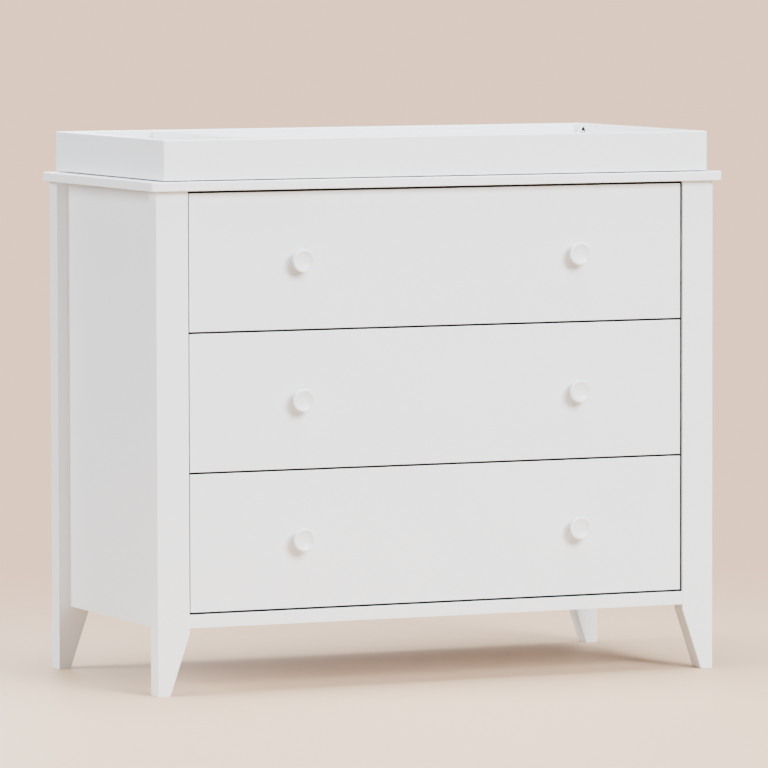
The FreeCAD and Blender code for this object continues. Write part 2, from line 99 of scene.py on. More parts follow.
@dataclass
class Skin:
    """A surface: its points, their normals, how much each lies on an edge, and its faces.

    A face that is listed as flat takes its own normal, and the others blend their points' normals.
    """

    points: Array
    normals: Array
    edge: Array
    quads: Array
    flats: list[list[int]] = field(default_factory=list)

    def turned_to(self, axes: tuple[str, str, str], origin: Spot = (0.0, 0.0, 0.0)) -> "Skin":
        """Lays the skin's own three axes along those of the dresser and moves its origin.

        Args:
            axes: for each axis of the skin, the dresser's axis that it lies along, such as "-y".
            origin: where the skin's origin goes, in millimetres.

        Returns:
            The skin in the dresser's axes.
        """
        turn = np.zeros((3, 3))
        for own, name in enumerate(axes):
            turn[own, "xyz".index(name[-1])] = -1.0 if name[0] == "-" else 1.0
        skin = Skin(self.points @ turn + np.asarray(origin, float), self.normals @ turn, self.edge,
                    self.quads, self.flats)
        return skin.wound_back() if np.linalg.det(turn) < 0 else skin

    def wound_back(self) -> "Skin":
        """The same skin with each face's points in the other order, as a mirror image needs."""
        return Skin(self.points, self.normals, self.edge, self.quads[:, ::-1],
                    [flat[::-1] for flat in self.flats])

    def mirrored(self) -> "Skin":
        """The same skin on the other side of the dresser's middle."""
        flip = np.array([-1.0, 1.0, 1.0])
        return Skin(self.points * flip, self.normals * flip, self.edge, self.quads,
                    self.flats).wound_back()

    def moved(self, x: float = 0.0, y: float = 0.0, z: float = 0.0) -> "Skin":
        """The same skin a little further on."""
        return Skin(self.points + np.array([x, y, z]), self.normals, self.edge, self.quads,
                    self.flats)


def paired(skins: list[Skin]) -> list[Skin]:
    """The skins and their mirror images."""
    return skins + [skin.mirrored() for skin in skins]


def joined(skins: list[Skin]) -> Skin:
    """Several skins as one, each keeping its own faces.

    Args:
        skins: the skins, in the same axes.

    Returns:
        One skin whose face numbers count on from skin to skin.
    """
    starts = np.cumsum([0] + [len(skin.points) for skin in skins])
    flats = [[index + int(start) for index in flat]
             for start, skin in zip(starts, skins) for flat in skin.flats]
    return Skin(np.concatenate([skin.points for skin in skins]),
                np.concatenate([skin.normals for skin in skins]),
                np.concatenate([skin.edge for skin in skins]),
                np.concatenate([skin.quads + start for start, skin in zip(starts, skins)]),
                flats)


def rounded_outline(corners: list[tuple[float, float]], radii: float | list[float], steps: int = 6,
                    closed: bool = True) -> Outline:
    """A polygon, or an open line of straight sides, with its corners rounded.

    At each corner an arc touches both sides. As t runs from 0 to 1 the normal turns evenly from
    the first side's to the second's, and the point is the arc's centre plus the radius times that
    normal, with a radius less than 0 where the line turns inwards. The centre is the corner less
    the radius times the corner's mitre. The edge mask is the sine of half a turn times t, on
    outward corners only.

    Args:
        corners: the corners; a closed line that runs clockwise is turned round.
        radii: one radius for all the corners, or one for each.
        steps: how many pieces each arc has.
        closed: whether the last corner joins the first.

    Returns:
        The outline.
    """
    spots = np.asarray(corners, float)
    radius = np.broadcast_to(np.asarray(radii, float), len(spots))[:, None]
    ahead = np.roll(spots, -1, axis=0)
    if closed and (spots[:, 0] * ahead[:, 1] - spots[:, 1] * ahead[:, 0]).sum() < 0:
        spots, radius = spots[::-1], radius[::-1]
    into = spots - np.roll(spots, 1, axis=0)
    out = np.roll(spots, -1, axis=0) - spots
    if not closed:
        into[0], out[-1] = out[0], into[-1]
    heading = np.arctan2(into[:, 1], into[:, 0])
    turn = (np.arctan2(out[:, 1], out[:, 0]) - heading + math.pi) % (2 * math.pi) - math.pi
    along = into / np.linalg.norm(into, axis=1, keepdims=True)
    first = np.stack([along[:, 1], -along[:, 0]], axis=1)
    t = np.linspace(0.0, 1.0, steps + 1)
    angle = (np.arctan2(first[:, 1], first[:, 0])[:, None] + turn[:, None] * t).ravel()
    normals = np.stack([np.cos(angle), np.sin(angle)], axis=1)
    repeat = steps + 1
    corner = np.repeat(spots, repeat, axis=0)
    mitre = np.repeat(first + along * np.tan(turn / 2)[:, None], repeat, axis=0)
    signed = np.repeat(np.sign(turn)[:, None] * radius, repeat, axis=0)
    points = corner + signed * (normals - mitre)
    edge = (np.sin(math.pi * t)[None] * (turn > 0.2)[:, None]).ravel()
    keep = np.arange(len(points)) if closed else np.arange(repeat - 1, len(points) - repeat + 1)
    return Outline(points[keep], normals[keep], edge[keep], corner[keep], mitre[keep],
                   signed[keep, 0], closed)


def ringed(points: Array, normals: Array, edge: Array, closing: bool = False) -> Skin:
    """A skin over a pile of rings.

    Args:
        points: the points, as rings by points in a ring by 3.
        normals: their normals, likewise.
        edge: their edge mask, as rings by points in a ring.
        closing: whether the last ring joins the first, or else both have a flat face.

    Returns:
        The closed skin.
    """
    rows, columns = edge.shape
    down = np.arange(rows if closing else rows - 1)[:, None]
    across = np.arange(columns)[None]
    below, right = (down + 1) % rows, (across + 1) % columns
    corners = [down * columns + across, down * columns + right, below * columns + right,
               below * columns + across]
    ring = np.arange(columns)
    flats = [] if closing else [ring[::-1].tolist(), (ring + (rows - 1) * columns).tolist()]
    return Skin(points.reshape(-1, 3), normals.reshape(-1, 3), edge.ravel(),
                np.stack([corner.ravel() for corner in corners], axis=1), flats)


def raised(flat: Array, height: Array) -> Array:
    """Points or normals of rings in a plane, with the third number added to each."""
    return np.concatenate([flat, np.broadcast_to(height, flat.shape[:2])[..., None]], axis=2)


def slab(outline: Outline, low: float, high: float, soft: float | tuple[float, float],
         steps: int = 5) -> Skin:
    """A board: a closed outline carried along its third axis, with eased rims.

    At a rim the angle a runs from a quarter turn to 0: the outline is drawn in there by
    soft * (1 - cos a), lies soft * (1 - sin a) inside the board's face, and its normals are the
    outline's times cos a plus the axis times sin a. The edge mask there is the outline's times
    cos a, or the sine of 2 a where that is more.

    Args:
        outline: the board's outline, anticlockwise seen from its high side.
        low: where the board begins along the third axis.
        high: where it ends.
        soft: the radius of the eased rims, or one for the low rim and one for the high rim.
        steps: how many pieces each eased rim has.

    Returns:
        The closed skin, with a flat face at each end.
    """
    soft_low, soft_high = soft if isinstance(soft, tuple) else (soft, soft)
    quarter = np.linspace(0.0, math.pi / 2, steps + 1)
    at_low = quarter[::-1] if soft_low else np.zeros(1)
    at_high = quarter if soft_high else np.zeros(1)
    heights = np.r_[low + soft_low * (1 - np.sin(at_low)),
                    high - soft_high * (1 - np.sin(at_high))][:, None]
    insets = np.r_[soft_low * (1 - np.cos(at_low)), soft_high * (1 - np.cos(at_high))]
    tilts = np.r_[-at_low, at_high][:, None]
    normals = raised(outline.normals[None] * np.cos(tilts)[..., None], np.sin(tilts))
    edge = np.maximum(outline.edge[None] * np.cos(tilts), np.abs(np.sin(2 * tilts)))
    return ringed(raised(outline.drawn_in(insets), heights), normals, edge)


def turned(profile: Outline, steps: int = 48) -> Skin:
    """A turned piece: a profile of radius and height carried round its axis.

    A point at angle a is (radius * cos a, radius * sin a, height), and its normal likewise.

    Args:
        profile: open, from the low end of the piece to its high end, or closed for a ring.
        steps: how many pieces the circle has.

    Returns:
        The skin, closed with a flat face at each open end.
    """
    angle = np.linspace(0.0, 2 * math.pi, steps, endpoint=False)
    ring = np.stack([np.cos(angle), np.sin(angle)], axis=1)[None]
    points, normals = (raised(line[:, None, :1] * ring, line[:, 1:])
                       for line in (profile.points, profile.normals))
    edge = np.repeat(profile.edge[:, None], steps, axis=1)
    return ringed(points, normals, edge, closing=profile.closed)


def box_board(low: Spot, high: Spot, soft: float = 1.0, along: str = "z",
              corner: float | list[float] | None = None,
              ends: float | tuple[float, float] | None = None) -> Skin:
    """A flat board with eased edges, between two corners.

    Args:
        low: its lowest corner.
        high: its highest corner.
        soft: the radius of all its edges, unless the next two say otherwise.
        along: the axis that its outline is carried along.
        corner: the radius of the edges that run along that axis, or one for each of the four.
        ends: the radius of the rims at both ends of that axis, or one for each end.

    Returns:
        The board in the dresser's axes.
    """
    order = {"x": "yzx", "y": "zxy", "z": "xyz"}[along]
    first, second, third = ("xyz".index(axis) for axis in order)
    corners = [(low[first], low[second]), (high[first], low[second]),
               (high[first], high[second]), (low[first], high[second])]
    outline = rounded_outline(corners, soft if corner is None else corner)
    skin = slab(outline, low[third], high[third], soft if ends is None else ends)
    return skin.turned_to((order[0], order[1], order[2]))


def planed_board(low: Spot, high: Spot, soft: float, bevel: float,
                 ends: float | None = None) -> Skin:
    """A board that runs from side to side, with its top edge sloping down towards the back.

    Args:
        low: its lowest corner.
        high: its highest corner.
        soft: the radius of its long edges.
        bevel: how much lower its top edge is at the back.
        ends: the radius of the rims at its two ends, where it isn't that of its long edges.

    Returns:
        The board in the dresser's axes.
    """
    section = [(low[1], low[2]), (high[1], low[2]), (high[1], high[2] - bevel), (low[1], high[2])]
    skin = slab(rounded_outline(section, soft), low[0], high[0], soft if ends is None else ends)
    return skin.turned_to(("y", "z", "x"))


# ---------------------------------------------------------------- shader maths

@dataclass(frozen=True)
class Wire:
    """One output of a node, with arithmetic: each operator adds a Math node."""

    tree: "Recipe"
    socket: Any

    def maths(self, operation: str, other: "float | Wire", swapped: bool = False,
              clamp: bool = False) -> "Wire":
        """Adds one Math node.

        Args:
            operation: the node's operation, such as ADD.
            other: the second number.
            swapped: whether this wire is the second number.
            clamp: whether the result is held between 0 and 1.

        Returns:
            The node's result.
        """
        pair = (other, self) if swapped else (self, other)
        return self.tree.add("ShaderNodeMath", {"operation": operation, "use_clamp": clamp},
                             {0: pair[0], 1: pair[1]})

    def __add__(self, other: "float | Wire") -> "Wire":
        """This plus the other."""
        return self.maths("ADD", other)

    __radd__ = __add__

    def __sub__(self, other: "float | Wire") -> "Wire":
        """This less the other."""
        return self.maths("SUBTRACT", other)

    def __rsub__(self, other: float) -> "Wire":
        """The other less this."""
        return self.maths("SUBTRACT", other, swapped=True)

    def __mul__(self, other: "float | Wire") -> "Wire":
        """This times the other."""
        return self.maths("MULTIPLY", other)

    __rmul__ = __mul__

    def held(self) -> "Wire":
        """This held between 0 and 1."""
        return self.maths("ADD", 0.0, clamp=True)

    def stepped(self, low: float, high: float) -> "Wire":
        """0 below low, 1 above high and a smooth step between them."""
        return self.tree.add("ShaderNodeMapRange", {"interpolation_type": "SMOOTHSTEP"},
                             {"Value": self, "From Min": low, "From Max": high})


class Recipe:
    """The nodes of one material."""

    def __init__(self, name: str) -> None:
        """Starts a material with a shader and an output."""
        self.material = bpy.data.materials.new(name)
        self.material.use_nodes = True
        self.nodes = self.material.node_tree.nodes
        self.links = self.material.node_tree.links
        self.nodes.clear()
        self.shader = self.nodes.new("ShaderNodeBsdfPrincipled")
        output = self.nodes.new("ShaderNodeOutputMaterial")
        self.links.new(self.shader.outputs["BSDF"], output.inputs["Surface"])

    def add(self, kind: str, settings: dict[str, Any] | None = None,
            inputs: dict[int | str, Any] | None = None, output: int | str = 0) -> Wire:
        """Adds a node.

        Args:
            kind: the node's type.
            settings: its settings, set first; "stops" fills a ramp with positions and colours.
            inputs: values or wires for its sockets, by number, name or identifier.
            output: the socket of the result.

        Returns:
            The result as a wire.
        """
        node = self.nodes.new(kind)
        for name, setting in (settings or {}).items():
            if name == "stops":
                self.fill_ramp(node.color_ramp, setting)
            else:
                setattr(node, name, setting)
        for key, given in (inputs or {}).items():
            self.feed(self.find(node.inputs, key), given)
        return Wire(self, self.find(node.outputs, output))

    @staticmethod
    def fill_ramp(ramp: Any, stops: list[tuple[float, tuple[float, ...]]]) -> None:
        """Gives a ramp its stops, in order."""
        while len(ramp.elements) < len(stops):
            ramp.elements.new(1.0)
        for element, (position, colour) in zip(ramp.elements, stops):
            element.position = position
            element.color = (*colour, 1.0)

    @staticmethod
    def find(sockets: Any, key: int | str) -> Any:
        """A socket by its number, its identifier or its name."""
        if isinstance(key, int):
            return sockets[key]
        same = [socket for socket in sockets if socket.identifier == key]
        return same[0] if same else sockets[key]

    def feed(self, socket: Any, given: Any) -> None:
        """Links a wire to a socket, or sets the socket's own value."""
        if isinstance(given, Wire):
            self.links.new(given.socket, socket)
        elif isinstance(given, tuple) and len(given) == 3 and socket.type == "RGBA":
            socket.default_value = (*given, 1.0)
        else:
            socket.default_value = given

    def place(self, stretch: Spot = (1.0, 1.0, 1.0)) -> Wire:
        """The point's place on the object, in metres, stretched along its axes."""
        where = self.add("ShaderNodeTexCoord", output="Object")
        return self.add("ShaderNodeMapping", None, {"Vector": where, "Scale": stretch})

    def part(self, axis: str) -> Wire:
        """The point's place along one axis, X, Y or Z, in metres."""
        return self.add("ShaderNodeSeparateXYZ", None, {"Vector": self.place()}, output=axis)

    def cloud(self, scale: float, detail: float = 2.0, rough: float = 0.5,
              where: Wire | None = None, distortion: float = 0.0) -> Wire:
        """Smooth noise from 0 to 1, with its scale in cycles a metre."""
        return self.add("ShaderNodeTexNoise", None,
                        {"Vector": where or self.place(), "Scale": scale, "Detail": detail,
                         "Roughness": rough, "Distortion": distortion}, output="Fac")

    def edge(self) -> Wire:
        """How much the point lies on an eased edge, from the piece's own attribute."""
        return self.add("ShaderNodeAttribute", {"attribute_name": "edge"}, None, output="Fac")

    def mix(self, factor: float | Wire, first: Any, second: Any) -> Wire:
        """Mixes two colours."""
        return self.add("ShaderNodeMix", {"data_type": "RGBA"},
                        {"Factor_Float": factor, "A_Color": first, "B_Color": second},
                        output="Result_Color")

    def ramp(self, factor: Wire, stops: list[tuple[float, tuple[float, ...]]]) -> Wire:
        """A colour for each value from 0 to 1."""
        return self.add("ShaderNodeValToRGB", {"stops": stops}, {"Fac": factor}, output="Color")

    def bump(self, height: Wire, depth: float, strength: float = 1.0,
             under: Wire | None = None) -> Wire:
        """Turns a height from 0 to 1 into a normal, depth metres deep."""
        inputs = {"Height": height, "Distance": depth, "Strength": strength}
        if under is not None:
            inputs["Normal"] = under
        return self.add("ShaderNodeBump", None, inputs, output="Normal")

    def finish(self, **inputs: Any) -> bpy.types.Material:
        """Sets the shader's own sockets, by name with _ for a space, and gives the material."""
        for name, given in inputs.items():
            self.feed(self.find(self.shader.inputs, name.replace("_", " ")), given)
        return self.material


# ---------------------------------------------------------------- finishes

class Grain(Enum):
    """Which way the grain of a board runs, as a stretch of its pattern along x, y and z."""

    ALONG_X = (0.06, 1.0, 1.0)
    ALONG_Y = (1.0, 0.06, 1.0)
    ALONG_Z = (1.0, 1.0, 0.06)


@dataclass(frozen=True)
class SatinPaint:
    """Sprayed satin paint over smooth board, rubbed a little thinner on its eased edges.

    The painted shade values, in metres, bound the faces in the gaps that are coloured near-black
    as painted shade.
    """

    name: str
    grain: Grain
    colour: Colour = (0.81, 0.815, 0.825)
    cool: Colour = (0.79, 0.797, 0.81)
    crisp: Colour = (0.91, 0.915, 0.92)
    rubbed: Colour = (0.745, 0.722, 0.685)
    sealer: Colour = (0.045, 0.042, 0.039)
    sealed_within: float = 0.0
    sealed_behind: float = 0.0
    sealed_above: float = 0.0
    sealed_below: float = 0.0
    roughness: float = 0.42

    def build(self) -> bpy.types.Material:
        """Makes the material.

        The colour drifts between two whites in broad clouds, the board's grain shows faintly
        through as long low ridges, and a fine orange peel covers all. The eased edges are a little
        whiter as a painted highlight, with a few specks rubbed thin. Faces in the gaps are
        coloured near-black as painted shade.
        """
        recipe = Recipe(self.name)
        along = recipe.place(self.grain.value)
        drift = recipe.cloud(5.0, detail=3.0)
        ridges = recipe.cloud(420.0, detail=3.0, rough=0.55, where=along)
        peel = recipe.cloud(620.0, detail=1.0)
        specks = recipe.cloud(170.0, detail=4.0, rough=0.65)
        rub = (recipe.edge() * specks.stepped(0.6, 0.78) * 0.4).held()
        base = recipe.mix(drift.stepped(0.3, 0.7), self.colour, self.cool)
        base = recipe.mix(ridges.stepped(0.35, 0.75) * 0.12, base, self.cool)
        # painted highlight: the eased edges are mixed towards a lighter white, as lit edges look
        base = recipe.mix(recipe.edge() * 0.8, base, self.crisp)
        base = recipe.mix(rub, base, self.rubbed)
        rough = self.roughness + (drift - 0.5) * 0.08 + (peel - 0.5) * 0.06 + rub * 0.12
        grain_normal = recipe.bump(ridges, 0.00006, 0.35)
        normal = recipe.bump(peel, 0.00003, 0.5, under=grain_normal)
        # painted shade: the faces in the gaps are mixed to near-black
        sealed = self.hidden(recipe)
        if sealed is not None:
            base, rough = recipe.mix(sealed, base, self.sealer), rough + sealed * 0.35
        return recipe.finish(Base_Color=base, Roughness=rough, Normal=normal, Coat_Roughness=0.22,
                             Coat_Weight=0.3 if sealed is None else 0.3 - sealed * 0.3,
                             Specular_IOR_Level=0.45)

    def hidden(self, recipe: Recipe) -> Wire | None:
        """Where the painted shade goes: inside, far back and high up, or else below a height."""
        blur = 0.0006
        if self.sealed_below:
            return 1.0 - recipe.part("Z").stepped(self.sealed_below, self.sealed_below + blur)
        if self.sealed_within:
            across = recipe.part("X")
            inner = 1.0 - (across * across).stepped(self.sealed_within ** 2,
                                                    (self.sealed_within + blur) ** 2)
            high = recipe.part("Z").stepped(self.sealed_above, self.sealed_above + blur)
            back = recipe.part("Y").stepped(self.sealed_behind - blur, self.sealed_behind)
            return inner * high * back
        return None


@dataclass(frozen=True)
class WhiteFoil:
    """Thin board with a printed white foil: even, with a fine emboss and faint mottle."""

    name: str
    colour: Colour = (0.715, 0.71, 0.70)
    mottle: Colour = (0.675, 0.67, 0.66)
    roughness: float = 0.5

    def build(self) -> bpy.types.Material:
        """Makes the material: slow mottle, a fine stipple and a dull sheen."""
        recipe = Recipe(self.name)
        drift = recipe.cloud(9.0, detail=4.0)
        stipple = recipe.cloud(900.0, detail=2.0, rough=0.7)
        dust = recipe.cloud(60.0, detail=5.0, rough=0.7).stepped(0.55, 0.9)
        base = recipe.mix(drift.stepped(0.25, 0.8), self.colour, self.mottle)
        base = recipe.mix(dust * 0.25, base, self.mottle)
        rough = self.roughness + (drift - 0.5) * 0.12 + (stipple - 0.5) * 0.1
        normal = recipe.bump(stipple, 0.00005, 0.6)
        return recipe.finish(Base_Color=base, Roughness=rough, Normal=normal,
                             Specular_IOR_Level=0.4)


@dataclass(frozen=True)
class SealedFibreboard:
    """Near-black fibreboard behind the gaps, dark as painted shade: dull, with pressed fibres and
    dust.
    """

    name: str
    colour: Colour = (0.036, 0.033, 0.031)
    fibre: Colour = (0.085, 0.078, 0.072)
    roughness: float = 0.82

    def build(self) -> bpy.types.Material:
        """Makes the material: fibres are thin light bands of warped noise over a dark ground."""
        recipe = Recipe(self.name)
        fibres = recipe.cloud(1300.0, detail=4.0, rough=0.7, distortion=1.8)
        patches = recipe.cloud(22.0, detail=4.0)
        base = recipe.mix(fibres.stepped(0.5, 0.75), self.colour, self.fibre)
        base = recipe.mix(patches.stepped(0.4, 0.8) * 0.35, base, self.fibre)
        normal = recipe.bump(fibres, 0.0001, 0.7)
        rough = self.roughness + (patches - 0.5) * 0.1
        return recipe.finish(Base_Color=base, Roughness=rough, Normal=normal)


@dataclass(frozen=True)
class Birch:
    """Clear-lacquered birch board: wavy growth lines, short pores and darker worn edges."""

    name: str
    grain: Grain
    pale: Colour = (0.66, 0.49, 0.31)
    middle: Colour = (0.56, 0.385, 0.225)
    dark: Colour = (0.43, 0.27, 0.145)
    roughness: float = 0.38

    def build(self) -> bpy.types.Material:
        """Makes the material.

        Growth lines are the sine of a stretched and warped distance across the grain, broken by
        noise, and pores are thin dark dashes along it.
        """
        recipe = Recipe(self.name)
        along = recipe.place(self.grain.value)
        warp = recipe.cloud(14.0, detail=3.0, where=along, distortion=0.6)
        lines = recipe.add("ShaderNodeMath", {"operation": "SINE"}, {0: warp * 90.0}) * 0.5 + 0.5
        streaks = recipe.cloud(160.0, detail=4.0, rough=0.6, where=along)
        pores = recipe.cloud(1100.0, detail=2.0, rough=0.5, where=along).stepped(0.62, 0.72)
        tone = (lines * 0.45 + streaks * 0.55).held()
        base = recipe.ramp(tone, [(0.2, self.dark), (0.5, self.middle), (0.78, self.pale)])
        base = recipe.mix(pores * 0.35, base, self.dark)
        base = recipe.mix(recipe.edge() * 0.3, base, self.dark)
        rough = self.roughness + (streaks - 0.5) * 0.18 + pores * 0.15
        ridges = recipe.bump(streaks, 0.00008, 0.4)
        normal = recipe.bump(1.0 - pores, 0.00006, 0.6, under=ridges)
        return recipe.finish(Base_Color=base, Roughness=rough, Normal=normal, Coat_Roughness=0.25,
                             Coat_Weight=0.25)


@dataclass(frozen=True)
class PowderCoat:
    """Baked powder coat on pressed steel: a fine orange peel, thin and grey at sharp edges."""

    name: str
    colour: Colour = (0.80, 0.80, 0.79)
    cloudy: Colour = (0.74, 0.74, 0.73)
    worn: Colour = (0.46, 0.46, 0.47)
    roughness: float = 0.34

    def build(self) -> bpy.types.Material:
        """Makes the material: peel bumps, and chips where the edge mask meets coarse noise."""
        recipe = Recipe(self.name)
        peel = recipe.cloud(1500.0, detail=2.0)
        drift = recipe.cloud(30.0, detail=3.0)
        chips = (recipe.edge() * recipe.cloud(500.0, detail=3.0).stepped(0.5, 0.66)).held()
        base = recipe.mix(drift * 0.35, self.colour, self.cloudy)
        base = recipe.mix(chips * 0.7, base, self.worn)
        rough = self.roughness + (peel - 0.5) * 0.1 + (drift - 0.5) * 0.08
        normal = recipe.bump(peel, 0.00004, 0.6)
        return recipe.finish(Base_Color=base, Roughness=rough, Normal=normal, Metallic=chips * 0.6)


@dataclass(frozen=True)
class Moulded:
    """Moulded nylon: faint flow marks and a fine matt skin, dulled where it rolls."""

    name: str
    colour: Colour = (0.77, 0.76, 0.72)
    flowed: Colour = (0.72, 0.71, 0.67)
    scuffed: Colour = (0.60, 0.59, 0.56)
    roughness: float = 0.45

    def build(self) -> bpy.types.Material:
        """Makes the material: flow clouds, a matt grain and scuffs on its edges."""
        recipe = Recipe(self.name)
        flow = recipe.cloud(110.0, detail=2.0, distortion=1.2)
        skin = recipe.cloud(2600.0, detail=2.0)
        scuff = (recipe.edge() * recipe.cloud(900.0, detail=3.0)).held()
        base = recipe.mix(flow * 0.4, self.colour, self.flowed)
        base = recipe.mix(scuff, base, self.scuffed)
        rough = self.roughness + (flow - 0.5) * 0.12 + scuff * 0.2
        normal = recipe.bump(skin, 0.00003, 0.5)
        return recipe.finish(Base_Color=base, Roughness=rough, Normal=normal,
                             Subsurface_Weight=0.08, Subsurface_Scale=0.003)


@dataclass(frozen=True)
class ZincPlate:
    """Zinc plate on small fittings: a bluish grey with cloudy stains and fine turning marks."""

    name: str
    colour: Colour = (0.62, 0.63, 0.66)
    stained: Colour = (0.44, 0.45, 0.48)
    polished: Colour = (0.78, 0.79, 0.81)
    roughness: float = 0.34

    def build(self) -> bpy.types.Material:
        """Makes the material: cloudy stains, tiny scratches and brighter rubbed edges."""
        recipe = Recipe(self.name)
        stain = recipe.cloud(260.0, detail=4.0, rough=0.6)
        marks = recipe.cloud(3200.0, detail=2.0, where=recipe.place((1.0, 1.0, 0.15)))
        base = recipe.mix(stain.stepped(0.35, 0.7), self.colour, self.stained)
        base = recipe.mix(recipe.edge() * 0.5, base, self.polished)
        rough = self.roughness + (stain - 0.5) * 0.25 + (marks - 0.5) * 0.1
        normal = recipe.bump(marks, 0.00002, 0.6)
        return recipe.finish(Base_Color=base, Roughness=rough, Normal=normal, Metallic=1.0)


@dataclass(frozen=True)
class PressedFelt:
    """Pressed felt: a matted tangle of dark fibres with lint in it."""

    name: str
    colour: Colour = (0.085, 0.08, 0.075)
    lint: Colour = (0.22, 0.21, 0.20)
    roughness: float = 0.92

    def build(self) -> bpy.types.Material:
        """Makes the material: fibres are thin bands of warped noise, dull all over."""
        recipe = Recipe(self.name)
        tangle = recipe.cloud(1900.0, detail=4.0, rough=0.75, distortion=2.5)
        tufts = recipe.cloud(420.0, detail=3.0)
        base = recipe.mix(tangle.stepped(0.45, 0.75) * 0.7, self.colour, self.lint)
        base = recipe.mix(tufts.stepped(0.6, 0.8) * 0.25, base, self.lint)
        normal = recipe.bump(tangle, 0.0004, 0.9)
        rough = self.roughness + (tufts - 0.5) * 0.1
        return recipe.finish(Base_Color=base, Roughness=rough, Normal=normal, Sheen_Weight=0.3,
                             Sheen_Roughness=0.6)


@dataclass(frozen=True)
class PaleFloor:
    """A plain pale floor, smooth and matt, that fades out far from the middle."""

    name: str = "pale_floor"
    colour: Colour = (0.61, 0.42, 0.275)
    cloudy: Colour = (0.575, 0.39, 0.25)
    middle: Spot = (0.0, -0.9, 0.0)
    fade_start: float = 1.0
    fade_end: float = 2.8
    roughness: float = 0.62

    def build(self) -> bpy.types.Material:
        """Makes the material: one pale tone with a very faint drift, clear where it has faded."""
        recipe = Recipe(self.name)
        drift = recipe.cloud(1.2, detail=4.0)
        base = recipe.mix(drift * 0.5, self.colour, self.cloudy)
        out = recipe.add("ShaderNodeVectorMath", {"operation": "DISTANCE"},
                         {0: recipe.place(), 1: self.middle}, output="Value")
        shown = 1.0 - out.stepped(self.fade_start, self.fade_end)
        rough = self.roughness + (drift - 0.5) * 0.05
        return recipe.finish(Base_Color=base, Roughness=rough, Alpha=shown,
                             Specular_IOR_Level=0.25)


class Slot(Enum):
    """The record's material slots; each finish keeps the one it belongs to."""

    PAINT = "white_paint"
    BOARD = "white_board"
    WOOD = "drawer_wood"
    EPOXY = "runner_epoxy"
    NYLON = "nylon"
    ZINC = "zinc"
    FELT = "felt"


@dataclass(frozen=True)
class Finish:
    """A material, its slot, and the word that the names of its pieces begin with."""

    material: bpy.types.Material
    slot: Slot
    word: str


class FinishRack:
    """Every finish of the dresser, each built once."""

    def __init__(self) -> None:
        """Builds the materials."""
        self.paint = {grain: self.painted(f"satin_paint_{grain.name.lower()}", grain)
                      for grain in Grain}
        self.birch = {grain: Finish(Birch(f"birch_{grain.name.lower()}", grain).build(),
                                    Slot.WOOD, "birch") for grain in Grain}
        # painted shade on the front legs' inner faces behind the drawer fronts and on the tray
        # boards' undersides
        self.front_leg = self.painted("satin_paint_front_leg", Grain.ALONG_Z,
                                      sealed_within=0.4563, sealed_behind=-0.2318,
                                      sealed_above=0.125)
        self.tray = {grain: self.painted(f"satin_paint_tray_{grain.name.lower()}", grain,
                                         sealed_below=0.8557)
                     for grain in (Grain.ALONG_X, Grain.ALONG_Y)}
        self.foil = Finish(WhiteFoil("white_foil").build(), Slot.BOARD, "foil")
        # a near-black board as painted shade for what is seen through the gaps
        self.sealed = Finish(SealedFibreboard("sealed_fibreboard").build(), Slot.PAINT, "sealed")
        self.coat = Finish(PowderCoat("runner_coat").build(), Slot.EPOXY, "coated")
        self.nylon = Finish(Moulded("roller_nylon").build(), Slot.NYLON, "nylon")
        self.zinc = Finish(ZincPlate("zinc_plate").build(), Slot.ZINC, "plated")
        self.felt = Finish(PressedFelt("pad_felt").build(), Slot.FELT, "felt")

    @staticmethod
    def painted(name: str, grain: Grain, **sealed: float) -> Finish:
        """One of the white paints."""
        return Finish(SatinPaint(name, grain, **sealed).build(), Slot.PAINT, "painted")


# ---------------------------------------------------------------- putting pieces down

